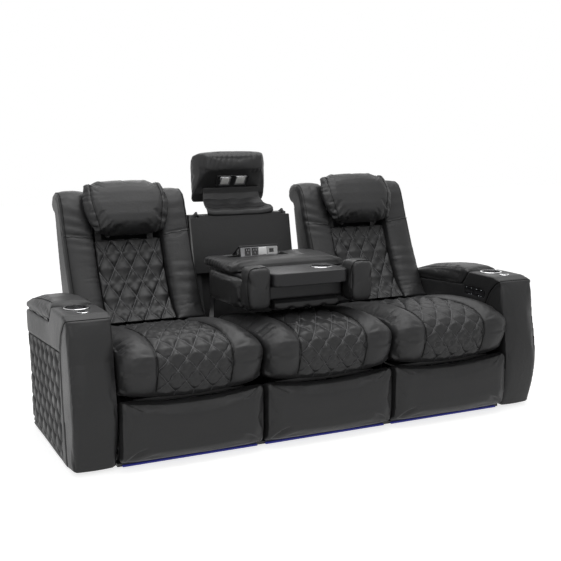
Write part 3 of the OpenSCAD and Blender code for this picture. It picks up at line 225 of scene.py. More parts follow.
# One finish, with the edges between flat faces kept sharp.
def hardFinish(obj, finish):
    useMaterials(obj, finishes[finish])
    activate(obj)
    bpy.ops.object.shade_smooth_by_angle(angle=0.6)


# A face counts where all its corners do.
def faceMask(obj, mask):
    sizes = np.zeros(len(obj.data.polygons), np.int32)
    obj.data.polygons.foreach_get("loop_total", sizes)
    index = np.zeros(len(obj.data.loops), np.int32)
    obj.data.loops.foreach_get("vertex_index", index)
    starts = np.concatenate([[0], np.cumsum(sizes)[:-1]])
    return np.add.reduceat(mask[index].astype(int), starts) == sizes


def copyPiece(obj, name, shift=(0, 0, 0), mirrored=False):
    twin = addObject(name, obj.data.copy())
    twin.data.name = name
    points = readPoints(twin)
    if mirrored:
        points[:, 0] *= -1
        twin.data.flip_normals()
    writePoints(twin, points + np.array(shift))
    return twin


def settle(obj, body, slot, *replaced, padded=None):
    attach(obj, body)
    if replaced:
        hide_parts(*replaced)
    return obj


# Thin welts along paths, laid on the surface of a piece; upright ones keep their place across.
def seamTube(name, paths, radius, body, on, lift, upright=False):
    tree = BVHTree.FromPolygons([v.co[:] for v in on.data.vertices], [p.vertices[:] for p in on.data.polygons])
    curve = bpy.data.curves.new(name, "CURVE")
    curve.dimensions = "3D"
    curve.bevel_depth = radius
    curve.bevel_resolution = 1
    curve.use_fill_caps = True
    for path in paths:
        line = curve.splines.new("POLY")
        line.points.add(len(path) - 1)
        for k, p in enumerate(path):
            hit, normal, _, _ = tree.find_nearest(Vector(p))
            place = hit + normal * lift
            if upright:
                place.x = p[0]
            line.points[k].co = (*place, 1)
    obj = addObject(name, curve)
    activate(obj)
    bpy.ops.object.convert(target="MESH")
    obj = bpy.context.view_layer.objects.active
    obj.name = obj.data.name = name
    useMaterials(obj, finishes["welt"])
    return settle(obj, body, "leather")


# The way along a line up to each of its corners.
def runsOf(line):
    return np.concatenate([[0], np.cumsum(np.linalg.norm(np.diff(line, axis=0), axis=1))])


def resampled(line, count):
    line = np.asarray(line, float)
    run = runsOf(line)
    return np.stack([np.interp(np.linspace(0, run[-1], count), run, line[:, k]) for k in range(line.shape[1])], 1)


# A profile in y and z, set at one place across and evenly divided.
def profileAt(x, line, count):
    return resampled([[x, y, z] for y, z in line], count)


def startBlock(name, low, high):
    low, high = np.array(low), np.array(high)
    bpy.ops.mesh.primitive_cube_add(size=1, location=(low + high) / 2, scale=high - low)
    obj = bpy.context.active_object
    obj.name = obj.data.name = name
    bpy.ops.object.transform_apply()
    return obj


# The face that looks the way given is inset and moved along its normal, outwards if the depth is positive.
def sinkFace(obj, way, inset, depth):
    activate(obj)
    bpy.ops.object.mode_set(mode="EDIT")
    bpy.ops.mesh.select_mode(type="FACE")
    bpy.ops.mesh.select_all(action="DESELECT")
    bpy.ops.object.mode_set(mode="OBJECT")
    for face in obj.data.polygons:
        face.select = face.normal.dot(Vector(way)) > 0.9
    bpy.ops.object.mode_set(mode="EDIT")
    bpy.ops.mesh.inset(thickness=inset, depth=depth)
    bpy.ops.object.mode_set(mode="OBJECT")
    return obj


def roundEdges(obj, width):
    return applyModifier(obj, "BEVEL", width=width, segments=2, limit_method="ANGLE")


def facingOut(obj):
    activate(obj)
    bpy.ops.object.mode_set(mode="EDIT")
    bpy.ops.mesh.select_all(action="SELECT")
    bpy.ops.mesh.normals_make_consistent(inside=False)
    bpy.ops.object.mode_set(mode="OBJECT")
    return obj


def joined(base, extra):
    activate(base)
    extra.select_set(True)
    bpy.ops.object.join()
    return base


def startMaterial(name):
    material = bpy.data.materials.new(name)
    material.use_nodes = True
    return material, material.node_tree, material.node_tree.nodes["Principled BSDF"]


def addNode(tree, kind, links=None, values=None, **settings):
    node = tree.nodes.new("ShaderNode" + kind)
    for key, value in settings.items():
        setattr(node, key, value)
    for key, value in (values or {}).items():
        node.inputs[key].default_value = value
    for key, socket in (links or {}).items():
        tree.links.new(socket, node.inputs[key])
    return node


# A sum on sockets and plain numbers.
def calc(tree, operation, *terms):
    node = addNode(tree, "Math", operation=operation)
    for k, value in enumerate(terms):
        if isinstance(value, (int, float)):
            node.inputs[k].default_value = value
        else:
            tree.links.new(value, node.inputs[k])
    return node.outputs[0]


def ranged(tree, value, source, target, **settings):
    ends = dict(zip(("From Min", "From Max", "To Min", "To Max"), (*source, *target)))
    return addNode(tree, "MapRange", {"Value": value}, ends, **settings).outputs[0]


def tinted(colour, share):
    return (*[min(1, c * share) for c in colour], 1)


# Two colours or sockets, mixed by a factor.
def blended(tree, factor, first, second):
    links, values = {"Fac": factor}, {}
    for key, value in (("Color1", first), ("Color2", second)):
        (values if isinstance(value, tuple) else links)[key] = value
    return addNode(tree, "MixRGB", links, values).outputs[0]


# One where a ray comes from the camera, a reflection or a clear piece.
def seenRays(tree):
    rays = addNode(tree, "LightPath").outputs
    indirect = calc(tree, "MAXIMUM", rays["Is Glossy Ray"], rays["Is Transmission Ray"])
    return calc(tree, "MAXIMUM", rays["Is Camera Ray"], indirect)


leatherLook = {
    "grainScale": 520, "grainDepth": 0.0003, "poreScale": 900,
    "creaseScale": 24, "creaseDepth": 0.0022,
    "patchScale": 5, "patchSpread": 0.18, "seamPaintedShade": 0.12,
    "rough": (0.38, 0.52), "gloss": 0.3,
    "thread": (0.085, 0.085, 0.088, 1), "threadWidth": (0.016, 0.0256), "stitches": 9, "stitchGap": 0.22,
    "grooveWidth": 0.09, "grooveDepth": 0.004,
}


def makeLeather(name, colour, quilted=False):
    look = leatherLook
    material, tree, shader = startMaterial(name)
    place = addNode(tree, "TexCoord").outputs["Object"]
    patch = addNode(tree, "TexNoise", {"Vector": place}, {"Scale": look["patchScale"], "Detail": 4}).outputs["Fac"]
    shade = blended(tree, patch, tinted(colour, 1 - look["patchSpread"]), tinted(colour, 1 + look["patchSpread"]))
    # painted shade: where a piece's seam attribute is set, the leather colour is darkened, standing in for the
    # shadow in its sewn grooves
    seam = addNode(tree, "Attribute", attribute_name="seam").outputs["Fac"]
    colourOut = blended(tree, seam, shade, tinted(colour, look["seamPaintedShade"]))
    grain = addNode(tree, "TexVoronoi", {"Vector": place}, {"Scale": look["grainScale"]})
    pores = addNode(tree, "TexNoise", {"Vector": place}, {"Scale": look["poreScale"], "Detail": 2})
    crease = addNode(tree, "TexNoise", {"Vector": place},
                     {"Scale": look["creaseScale"], "Detail": 3, "Distortion": 1.4})
    fine = calc(tree, "ADD", grain.outputs["Distance"], pores.outputs["Fac"])
    bump = addNode(tree, "Bump", {"Height": fine}, {"Strength": 0.5, "Distance": look["grainDepth"]})
    fold = addNode(tree, "Bump", {"Height": crease.outputs["Fac"], "Normal": bump.outputs[0]},
                   {"Strength": 0.45, "Distance": look["creaseDepth"]})
    normal = fold.outputs[0]
    if quilted:
        uv = addNode(tree, "UVMap", uv_map="quilt")
        split = addNode(tree, "SeparateXYZ", {"Vector": uv.outputs[0]})
        total = calc(tree, "ADD", split.outputs[0], split.outputs[1])
        less = calc(tree, "SUBTRACT", split.outputs[0], split.outputs[1])
        near, masks = [], []
        for across, down in ((total, less), (less, total)):
            near.append(calc(tree, "PINGPONG", across, 0.5))
            stitch = calc(tree, "FRACT", calc(tree, "MULTIPLY", down, look["stitches"]))
            dash = calc(tree, "GREATER_THAN", stitch, look["stitchGap"])
            soft = ranged(tree, near[-1], look["threadWidth"], (1.0, 0.0), clamp=True)
            masks.append(calc(tree, "MULTIPLY", soft, dash))
        thread = calc(tree, "MAXIMUM", *masks)
        groove = ranged(tree, calc(tree, "MINIMUM", *near), (0.0, look["grooveWidth"]), (0.0, 1.0),
                        interpolation_type="SMOOTHSTEP")
        sewn = addNode(tree, "Bump", {"Height": groove, "Normal": normal},
                       {"Strength": 0.6, "Distance": look["grooveDepth"]})
        normal = sewn.outputs[0]
        colourOut = blended(tree, thread, colourOut, look["thread"])
    tree.links.new(colourOut, shader.inputs["Base Color"])
    tree.links.new(ranged(tree, patch, (0.3, 0.7), look["rough"]), shader.inputs["Roughness"])
    tree.links.new(normal, shader.inputs["Normal"])
    shader.inputs["Specular IOR Level"].default_value = look["gloss"]
    return material


def makeHard(name, colour, metallic=0.0, rough=(0.3, 0.4), scale=60, bump=0.0001, spread=0.12, gloss=0.5,
             stretch=(1, 1, 1)):
    material, tree, shader = startMaterial(name)
    place = addNode(tree, "TexCoord").outputs["Object"]
    turned = addNode(tree, "Mapping", {"Vector": place}, {"Scale": stretch})
    grain = addNode(tree, "TexNoise", {"Vector": turned.outputs[0]}, {"Scale": scale, "Detail": 4}).outputs["Fac"]
    shade = blended(tree, grain, tinted(colour, 1 - spread), tinted(colour, 1 + spread))
    fine = addNode(tree, "Bump", {"Height": grain}, {"Strength": 0.4, "Distance": bump})
    tree.links.new(shade, shader.inputs["Base Color"])
    tree.links.new(ranged(tree, grain, (0.3, 0.7), rough), shader.inputs["Roughness"])
    tree.links.new(fine.outputs[0], shader.inputs["Normal"])
    shader.inputs["Metallic"].default_value = metallic
    shader.inputs["Specular IOR Level"].default_value = gloss
    return material


def makeGlow(name, colour, strength):
    material, tree, shader = startMaterial(name)
    place = addNode(tree, "TexCoord").outputs["Object"]
    dots = addNode(tree, "TexNoise", {"Vector": place}, {"Scale": 40, "Detail": 1})
    level = ranged(tree, dots.outputs["Fac"], (0.0, 1.0), (strength * 0.8, strength * 1.2))
    tree.links.new(level, shader.inputs["Emission Strength"])
    shader.inputs["Emission Color"].default_value = (*colour, 1)
    shader.inputs["Base Color"].default_value = tinted(colour, 0.2)
    return material


finishes = {
    "leather": makeLeather("charcoalLeather", (0.018, 0.018, 0.0185)),
    "quilt": makeLeather("quiltedLeather", (0.018, 0.018, 0.0185), quilted=True),
    "sideQuilt": makeLeather("sideQuiltLeather", (0.015, 0.015, 0.0155)),
    "tray": makeLeather("trayLeather", (0.014, 0.014, 0.015)),
    "shade": makeLeather("shadedLeather", (0.017, 0.017, 0.0175)),
    "welt": makeHard("welt", (0.008, 0.008, 0.008), rough=(0.7, 0.8), scale=300, gloss=0.1),
    "frame": makeHard("lacqueredSteel", (0.022, 0.022, 0.023), rough=(0.42, 0.5), scale=140, bump=0.0002),
    "zinc": makeHard("zincSteel", (0.42, 0.42, 0.43), 1.0, (0.32, 0.46), 30, stretch=(1, 1, 14)),
    "chrome": makeHard("cupSteel", (0.72, 0.72, 0.73), 1.0, (0.12, 0.22), 16, 0.00005, stretch=(1, 1, 20)),
    "plastic": makeHard("mouldedPlastic", (0.016, 0.016, 0.017), rough=(0.45, 0.55), scale=420, bump=0.0003),
    "gloss": makeHard("polishedPlastic", (0.012, 0.012, 0.013), rough=(0.14, 0.22), bump=0.00003),
    "white": makeHard("whitePlastic", (0.72, 0.72, 0.72), rough=(0.35, 0.45)),
    "grey": makeHard("greyPlastic", (0.30, 0.30, 0.31), rough=(0.35, 0.45)),
    "pale": makeHard("palePlastic", (0.40, 0.40, 0.40)),
    "lining": makeHard("backFabric", (0.020, 0.020, 0.022), rough=(0.85, 0.95), scale=800, bump=0.0006, gloss=0.15),
    "led": makeGlow("ledBlue", (0.06, 0.08, 0.9), 0.09),
    "mark": makeGlow("panelMarks", (0.75, 0.8, 0.85), 0.3),
    "lamp": makeHard("lampLens", (0.62, 0.62, 0.60), rough=(0.25, 0.35), scale=220, bump=0.0006),
}
print("materials made")

# finish of the CAD nodes that keep their own shape
cadFinish = {
    "base_frame": "frame", "front_beam": "frame", "feet": "plastic", "slide_rails": "zinc",
    "storage_bins": "plastic", "arm_cups": "chrome", "accessory_docks": "chrome", "control_panels": "gloss",
    "lid_hinges": "frame", "led_strip": "led", "console_uprights": "frame", "console_cups": "chrome",
    "back_panel": "shade",
}
sideFinish = {
    "rocker_recline": "gloss", "rocker_headrest": "gloss", "carriage": "frame", "footrest_frame": "frame",
    "link_a": "zinc", "link_b": "zinc", "link_c": "zinc", "link_d": "zinc",
    "back_frame": "frame", "headrest_arms": "frame",
}
for side in sofa["mirror"]:
    cadFinish.update({part + "_" + side: look for part, look in sideFinish.items()})
for node, look in cadFinish.items():
    if not nodes[node].material_slots:
        nodes[node].data.materials.append(finishes[look])
    for slot in nodes[node].material_slots:
        slot.material = finishes[look]

seat = {
    "voxel": 0.0062, "pressure": 5, "start": 0.004, "cap": 0.016, "sideCap": 0.003,
    "half": 0.303, "crown": 0.034,  # half the cushion's width, and how far its top falls to the sides
    "quiltHalf": 0.1565, "puff": 0.0052, "valley": 0.007, "pucker": 0.012, "diamond": 3.0, "groove": 0.11,
    # profile of the middle of the seat, from its rear low edge over the top to the front fold
    "line": [[0.057, 0.418], [0.0474, 0.449], [0.0056, 0.4608], [-0.0459, 0.4726], [-0.0973, 0.482],
             [-0.1488, 0.4903], [-0.2002, 0.4974], [-0.2516, 0.5021], [-0.3031, 0.5056], [-0.3545, 0.508],
             [-0.406, 0.508], [-0.4574, 0.5045], [-0.5056, 0.495], [-0.5474, 0.4773], [-0.5764, 0.4537],
             [-0.586, 0.423], [-0.5828, 0.39], [-0.5744, 0.357], [-0.5629, 0.3216], [-0.5506, 0.2956]],
}


def makeSeat():
    obj = remesh(copyNode("seatBase", "centre_seat"), seat["voxel"], 3)
    points, normals = surface(obj)
    half = np.abs(points[:, 0])
    onTop = (normals[:, 2] > -0.2) & (points[:, 2] > 0.3) & (points[:, 1] < 0.03)
    points = raised(obj, points, normals, -seat["start"] * onTop)
    sewn = (np.abs(half - seat["quiltHalf"]) < 0.006) & onTop
    hidden = (points[:, 2] < 0.285) | (points[:, 1] > 0.02)
    inflate(obj, seat["pressure"], sewn | hidden, np.where(half > 0.297, seat["sideCap"], seat["cap"]))
    applyModifier(obj, "SMOOTH", factor=0.5, iterations=2)
    points, normals = surface(obj)
    half = np.abs(points[:, 0])
    flat = points[:, 1:].copy()
    flat[:, 1] -= seat["crown"] * (points[:, 0] / seat["half"]) ** 2 * smoothStep(0.40, 0.29, points[:, 2])
    place, away = alongLine(flat, seat["line"])
    v = (place + 5) / seat["diamond"]
    u = points[:, 0] / 0.07825
    facingUp = normals[:, 2] + 0.5 * (points[:, 1] < -0.45)
    onTop = smoothStep(0.03, 0.012, away) * smoothStep(-0.3, 0.1, facingUp)
    inside = smoothStep(seat["quiltHalf"], seat["quiltHalf"] - 0.006, half)
    relief = seat["puff"] * (quiltRelief(u, v, seat["groove"]) - 0.6) * inside
    relief -= seat["valley"] * np.exp(-((half - seat["quiltHalf"]) / 0.005) ** 2)
    runs = runsOf(seat["line"])
    along = np.interp(place, np.arange(len(runs)), runs)
    front = smoothStep(-0.36, -0.50, points[:, 1])
    relief -= seat["pucker"] * puckers(seat["half"] - half, along, 1, 0.016, 0.017) * front
    relief += 0.0016 * noiseAt(points, 11, 3) * (1 - 0.6 * inside)
    raised(obj, points, normals, relief * onTop)
    setUv(obj, u, v)
    quilted = faceMask(obj, (half < seat["quiltHalf"] - 0.002) & (away < 0.03))
    useMaterials(obj, finishes["leather"], finishes["quilt"], finishes["welt"], faces=quilted)
    return obj


seatBase = makeSeat()
for bay, (node, body, _, _) in sofa["bays"].items():
    piece = copyPiece(seatBase, "seatCushion_" + bay, (sofa["seatX"][bay], 0, 0))
    settle(piece, body, "leather", node, padded=0.75)
    welts = []
    for side in (-1, 1):
        x = sofa["seatX"][bay] + side * seat["quiltHalf"]
        lift = seat["crown"] * (seat["quiltHalf"] / seat["half"]) ** 2
        welts.append(profileAt(x, [(y, z + lift * (z < 0.36)) for y, z in seat["line"][2:]], 90))
    seamTube("seatSeams_" + bay, welts, 0.0016, body, piece, 0.0002, upright=True)
bpy.data.objects.remove(seatBase)
print("seats made")

front = {"voxel": 0.0065, "pressure": 3, "start": 0.003, "cap": 0.008, "pucker": 0.004}


def makeFront():
    obj = remesh(copyNode("frontBase", "centre_front"), front["voxel"], 3)
    points, normals = surface(obj)
    shown = points[:, 1] < -0.515
    points = raised(obj, points, normals, -front["start"] * shown)
    inflate(obj, front["pressure"], ~shown, np.where(np.abs(points[:, 0]) > 0.297, 0.003, front["cap"]))
    points, normals = surface(obj)
    edge = seat["half"] - np.abs(points[:, 0])
    shown = smoothStep(-0.505, -0.53, points[:, 1])
    relief = -front["pucker"] * puckers(edge, points[:, 2], 4, 0.02, 0.017) * smoothStep(0.16, 0.2, points[:, 2])
    relief += 0.0016 * noiseAt(points, 7, 5)
    raised(obj, points, normals, relief * shown)
    useMaterials(obj, finishes["leather"])
    return obj


frontBase = makeFront()
for bay, (_, _, node, body) in sofa["bays"].items():
    piece = copyPiece(frontBase, "frontPanel_" + bay, (sofa["seatX"][bay], 0, 0))
    settle(piece, body, "leather", node, padded=0.6)
bpy.data.objects.remove(frontBase)
print("front panels made")

arm = {
    "voxel": 0.0062, "lidVoxel": 0.005, "pressure": 3, "cap": 0.007,
    "inner": 0.9225, "outer": 1.1025, "foot": 0.0186, "columns": 14, "rows": 8, "sidePuff": 0.008,
    "seam": [[-0.4000, 0.2003], [-0.3803, 0.3999], [-0.3770, 0.4662], [-0.4098, 0.5400], [-0.4549, 0.5853],
             [-0.4902, 0.6039]],
    "sideSeam": [[-0.359, 0.4565], [0.2355, 0.419]],
    "lidSeam": [[0.2425, 0.5679], [0.168, 0.588], [0.08, 0.606], [-0.025, 0.6194], [-0.13, 0.6274], [-0.2, 0.6268]],
    "lidInset": 0.018,
}


# Column and row of a point on the quilted side, counted in seams.
def sideGrid(points):
    (y0, z0), (y1, z1) = arm["sideSeam"]
    share = (points[:, 1] - y0) / (y1 - y0)
    height = (points[:, 2] - arm["foot"]) / (z0 + (z1 - z0) * share - arm["foot"])
    return share * arm["columns"], height * arm["rows"]


def makeArm(side):
    core = remesh(copyNode("armBody_" + side, "arm_" + side), arm["voxel"], 3)
    points, normals = surface(core)
    relief = 0.0012 * noiseAt(points, 6, 7)
    # leather pulled in along the seam above the quilted side
    seamZ = np.interp(points[:, 1], *zip(*arm["sideSeam"]))
    outside = (np.abs(points[:, 0]) > arm["outer"] - 0.004) & (points[:, 1] > -0.37)
    relief -= 0.004 * np.exp(-((points[:, 2] - seamZ - 0.004) / 0.006) ** 2) * outside
    raised(core, points, normals, relief)
    useMaterials(core, finishes["leather"])
    return settle(core, "frame", "leather", "arm_" + side, padded=0.9)


# The halves of a node that holds a left and a right piece.
def splitSides(name, node):
    halves = {}
    for side, m in sofa["mirror"].items():
        obj = copyNode(name + "_" + side, node)
        shape = bmesh.new()
        shape.from_mesh(obj.data)
        bmesh.ops.delete(shape, geom=[v for v in shape.verts if v.co.x * m < 0], context="VERTS")
        shape.to_mesh(obj.data)
        shape.free()
        halves[side] = obj
    return halves


padHalves = splitSides("armPad", "arm_fronts")
bpy.data.objects.remove(padHalves["left"])
padBase = remesh(padHalves["right"], arm["voxel"], 3)
points, normals = surface(padBase)
rim = np.minimum(points[:, 0] - arm["inner"], arm["outer"] - points[:, 0])
away = alongLine(points[:, 1:], arm["seam"])[1]
points = raised(padBase, points, normals, -0.003 * (away > 0.012))
inflate(padBase, arm["pressure"], (away < 0.012) | (points[:, 2] < 0.02), np.where(rim < 0.004, 0.002, arm["cap"]))
points, normals = surface(padBase)
raised(padBase, points, normals, 0.0014 * noiseAt(points, 6, 9))
useMaterials(padBase, finishes["leather"])

lidBase = remesh(copyNode("lidBase", "lid_right"), arm["lidVoxel"], 3)
inflate(lidBase, arm["pressure"], readPoints(lidBase)[:, 2] <= 0.556, 0.006)
points, normals = surface(lidBase)
raised(lidBase, points, normals, 0.0012 * noiseAt(points, 8, 11))
useMaterials(lidBase, finishes["leather"])

quiltHalves = splitSides("sideQuilt", "arm_sides")
for side, m in sofa["mirror"].items():
    core = makeArm(side)
    pad = copyPiece(padBase, "armPad_" + side, mirrored=m < 0)
    settle(pad, "frame", "leather", "arm_fronts", padded=0.8)
    lid = copyPiece(lidBase, "binLid_" + side, mirrored=m < 0)
    settle(lid, "lid_" + side, "leather", "lid_" + side, padded=0.7)
    panel = remesh(quiltHalves[side], 0.0058, 2)
    points, normals = surface(panel)
    column, row = sideGrid(points)
    bend = 0.5 - 0.5 * np.cos(math.pi * row)  # lines wave from one column to the next
    u = column / 2
    near = np.minimum(offWhole(u + bend / 2), offWhole(u - bend / 2))
    relief = arm["sidePuff"] * (1 - np.exp(-((near / 0.13) ** 2)) - 0.55)
    outward = normals[:, 0] * m > 0.5
    points[:, 0] += m * relief * outward
    points[:, 0] = m * np.minimum(np.abs(points[:, 0]), arm["outer"] + 0.001)
    writePoints(panel, points)
    # painted shade along the sunk sewn lines of the outer quilting, darkening the leather there
    setFloat(panel, "seam", 0.9 * np.exp(-((near / 0.05) ** 2)) * outward)
    useMaterials(panel, finishes["sideQuilt"])
    settle(panel, "frame", "leather_quilt", "arm_sides", padded=0.6)
    inner, outer, end = m * arm["inner"], m * arm["outer"], arm["seam"][-1]
    lines = [
        profileAt(outer, arm["sideSeam"], 60),
        profileAt(outer, arm["seam"], 50),
        profileAt(inner, arm["seam"], 50),
        resampled([(inner + m * 0.006, *end), (outer - m * 0.006, *end)], 24),
    ]
    seamTube("armSeams_" + side, lines, 0.0015, "frame", core, 0.0004)
    inset = m * arm["lidInset"]
    lidLines = [profileAt(x, arm["lidSeam"], 50) for x in (inner + inset, outer - inset)]
    seamTube("lidSeams_" + side, lidLines, 0.0013, "lid_" + side, lid, 0.0003, upright=True)
bpy.data.objects.remove(padBase)
bpy.data.objects.remove(lidBase)
print("arms made")

back = {
    "voxel": 0.0062, "pressure": 4, "start": 0.003, "cap": 0.012, "quiltHalf": 0.16, "puff": 0.006, "diamond": 4.0,
    "quiltLine": [[0.0749, 0.4563], [0.1459, 0.5051], [0.2181, 0.62], [0.2861, 0.7802], [0.3002, 0.8108]],
    "rows": 12, "seamZ": 0.825,
    "wingFront": [[0.0949, 0.4698], [0.1208, 0.5051], [0.1501, 0.5599], [0.182, 0.62], [0.222, 0.7001],
                  [0.256, 0.7802], [0.29, 0.8597], [0.3159, 0.9298], [0.335, 0.9752], [0.3601, 1.0099],
                  [0.4, 1.027], [0.4502, 1.0258], [0.488, 1.0123], [0.505, 0.9852]],
}


# How far points are from the seam across a wing, which rises towards the outside.
def wingSeamAway(half, height):
    return np.abs(height - back["seamZ"] - 0.02 * (half - back["quiltHalf"]) / 0.15)


def makeWings():
    obj = centredBase("wingBase", "back_wings_left", back["voxel"], 3)
    points, normals = surface(obj)
    half = np.abs(points[:, 0])
    away = alongLine(points[:, 1:], back["wingFront"])[1]
    shown = away < 0.03
    points = raised(obj, points, normals, -back["start"] * shown)
    sewn = shown & (wingSeamAway(half, points[:, 2]) < 0.005)
    inflate(obj, back["pressure"], sewn | ~shown, np.where(half > 0.299, 0.003, back["cap"]))
    applyModifier(obj, "SMOOTH", factor=0.5, iterations=1)
    points, normals = surface(obj)
    half = np.abs(points[:, 0])
    shown = smoothStep(0.035, 0.012, alongLine(points[:, 1:], back["wingFront"])[1])
    relief = -0.0035 * np.exp(-((wingSeamAway(half, points[:, 2]) / 0.004) ** 2))
    # soft folds that run across the wing below the seam and over its top
    fold = np.sin(points[:, 2] * 2 * math.pi / 0.05 + 5 * noiseAt(points, 4, 21))
    gate = np.clip(noiseAt(points, 5, 23) + 0.15, 0, 1)
    relief += 0.0024 * fold * gate
    relief -= 0.004 * puckers(half - 0.162, points[:, 2] + 0.4 * points[:, 1], 13, 0.03, 0.026)
    relief += 0.0016 * noiseAt(points, 9, 25)
    raised(obj, points, normals, relief * shown)
    useMaterials(obj, finishes["leather"])
    return obj


def makeBackQuilt():
    obj = centredBase("quiltBase", "back_quilt_left", 0.0058)
    points, normals = surface(obj)
    line = resampled(back["quiltLine"], back["rows"] + 1)
    place, away = alongLine(points[:, 1:], line)
    u, v = points[:, 0] / 0.08, place / back["diamond"]
    shown = smoothStep(0.025, 0.012, away) * (normals[:, 1] < 0.2)
    relief = back["puff"] * (quiltRelief(u, v, 0.11) - 0.6)
    relief -= 0.004 * np.exp(-(((back["quiltHalf"] - np.abs(points[:, 0])) / 0.006) ** 2))
    raised(obj, points, normals, relief * shown)
    setUv(obj, u, v)
    useMaterials(obj, finishes["leather"], finishes["quilt"], faces=faceMask(obj, away < 0.02))
    return obj


wingBase, quiltBase = makeWings(), makeBackQuilt()
print("wings made")

head = {
    "voxel": 0.0055, "pressure": 5, "start": 0.003, "cap": 0.014, "pucker": 0.004, "corner": 0.10,
    "half": ((0.82, 1.0, 1.06), (0.163, 0.201, 0.190)),  # heights, and half the width there
    "middle": [[0.2421, 0.8407], [0.238, 0.8766], [0.2523, 0.9227], [0.2768, 0.9739], [0.3053, 1.0225],
               [0.3339, 1.0571], [0.3625, 1.0763], [0.391, 1.0775], [0.4155, 1.0673], [0.4318, 1.0455]],
}


def headHalf(z):
    return np.interp(z, *head["half"])


def makeHeadrest():
    obj = centredBase("headBase", "headrest_left", head["voxel"], 3)
    points, normals = surface(obj)
    shown = alongLine(points[:, 1:], head["middle"])[1] < 0.035
    raised(obj, points, normals, -head["start"] * shown)
    inflate(obj, head["pressure"], ~shown, head["cap"])
    points, normals = surface(obj)
    away = alongLine(points[:, 1:], head["middle"])[1]
    top = smoothStep(0.99, 1.065, points[:, 2]) * smoothStep(0.10, 0.20, np.abs(points[:, 0]))
    points[:, 0] *= 1 - head["corner"] * top  # the upper corners are rounded
    edge = headHalf(points[:, 2]) - np.abs(points[:, 0])
    shown = smoothStep(0.05, 0.015, away)
    relief = -0.0045 * np.exp(-(((edge - 0.030) / 0.004) ** 2))
    folds = puckers(edge - 0.006, points[:, 2] + 0.3 * points[:, 1], 31, 0.03, 0.028)
    relief -= head["pucker"] * folds * np.where(points[:, 0] < 0, 1.0, 0.45)
    relief += 0.002 * noiseAt(points, 8, 33)
    raised(obj, points, normals, relief * shown)
    useMaterials(obj, finishes["leather"])
    return obj


headBase = makeHeadrest()
for side, m in sofa["mirror"].items():
    shift = (sofa["seatX"][side], 0, 0)
    wings = copyPiece(wingBase, "backWings_" + side, shift)
    settle(wings, "back_" + side, "leather", "back_wings_" + side, padded=0.7)
    quilt = copyPiece(quiltBase, "backQuilt_" + side, shift)
    settle(quilt, "back_" + side, "leather_quilt", "back_quilt_" + side, padded=0.6)
    pillow = copyPiece(headBase, "headPillow_" + side, shift)
    settle(pillow, "headrest_" + side, "leather", "headrest_" + side, padded=0.85)
    cover = roundEdges(copyNode("rearCover_" + side, "back_cover_" + side), 0.003)
    hardFinish(cover, "lining")
    settle(cover, "back_" + side, "back_fabric", "back_cover_" + side)
    lines, edges = [], []
    for half in (-1, 1):
        a, b = shift[0] + half * 0.168, shift[0] + half * 0.300
        lines.append(resampled([(a, 0.268, back["seamZ"] + 0.001), (b, 0.268, back["seamZ"] + 0.019)], 26))
        lines.append(profileAt(shift[0] + half * 0.292, back["wingFront"], 90))
        widths = headHalf([z for _, z in head["middle"]]) - 0.030
        edges.append(resampled([[shift[0] + half * w, y, z] for w, (y, z) in zip(widths, head["middle"])], 70))
    seamTube("wingSeams_" + side, lines, 0.0013, "back_" + side, wings, 0.0003, upright=True)
    seamTube("headSeams_" + side, edges, 0.0013, "headrest_" + side, pillow, 0.0003, upright=True)
for base in (wingBase, quiltBase, headBase):
    bpy.data.objects.remove(base)
print("backs made")

console = {
    "voxel": 0.0055, "pressure": 4, "padCap": 0.008, "bolsterCap": 0.007,
    "pipingY": -0.370, "bootX": (0.190, 0.304), "bootZ": (0.545, 0.740),
}
pad = remesh(copyNode("consolePad", "console_pad"), console["voxel"], 3)
points = readPoints(pad)
slotWall = (points[:, 0] > -0.222) & (points[:, 0] < 0.112) & (points[:, 1] > -0.03)
inflate(pad, console["pressure"], slotWall | (points[:, 2] < 0.684), console["padCap"])
points, normals = surface(pad)
relief = 0.0014 * noiseAt(points, 9, 41)
relief -= 0.005 * puckers(0.285 - np.abs(points[:, 0]), points[:, 1], 43, 0.03, 0.03)
raised(pad, points, normals, relief)
useMaterials(pad, finishes["leather"])
settle(pad, "console", "leather", "console_pad", padded=0.7)

body = remesh(copyNode("consoleTray", "console_body"), console["voxel"], 3)
useMaterials(body, finishes["tray"])
settle(body, "console", "leather_dark", "console_body")

bolsters = remesh(copyNode("consoleBolsters", "console_bolsters"), console["voxel"], 3)
points, normals = surface(bolsters)
raised(bolsters, points, normals, np.full(len(points), -0.003))
inflate(bolsters, console["pressure"], np.zeros(len(points), bool), console["bolsterCap"])
points, normals = surface(bolsters)
behind = points[:, 1] - console["pipingY"]
relief = -0.0035 * np.exp(-((behind / 0.004) ** 2))
folds = puckers(behind, points[:, 2] + 0.6 * points[:, 0], 47, 0.014, 0.021)
relief -= 0.0035 * folds * smoothStep(-0.002, 0.004, behind)
relief += 0.002 * noiseAt(points, 9, 45)
raised(bolsters, points, normals, relief)
useMaterials(bolsters, finishes["leather"])
settle(bolsters, "console", "leather", "console_bolsters", padded=0.7)

rings = []
(x0, x1), (z0, z1) = console["bootX"], console["bootZ"]
for side in (-1, 1):
    ring = []
    for k in range(61):
        a = 2 * math.pi * k / 60
        c, s = (math.copysign(abs(t) ** 0.6, t) for t in (math.cos(a), math.sin(a)))
        x, z = (x0 + x1) / 2 + c * (x1 - x0) / 2, (z0 + z1) / 2 + s * (z1 - z0) / 2
        ring.append((side * x, console["pipingY"], z))
    rings.append(ring)
seamTube("bootPiping", rings, 0.0018, "console", bolsters, 0.0005)

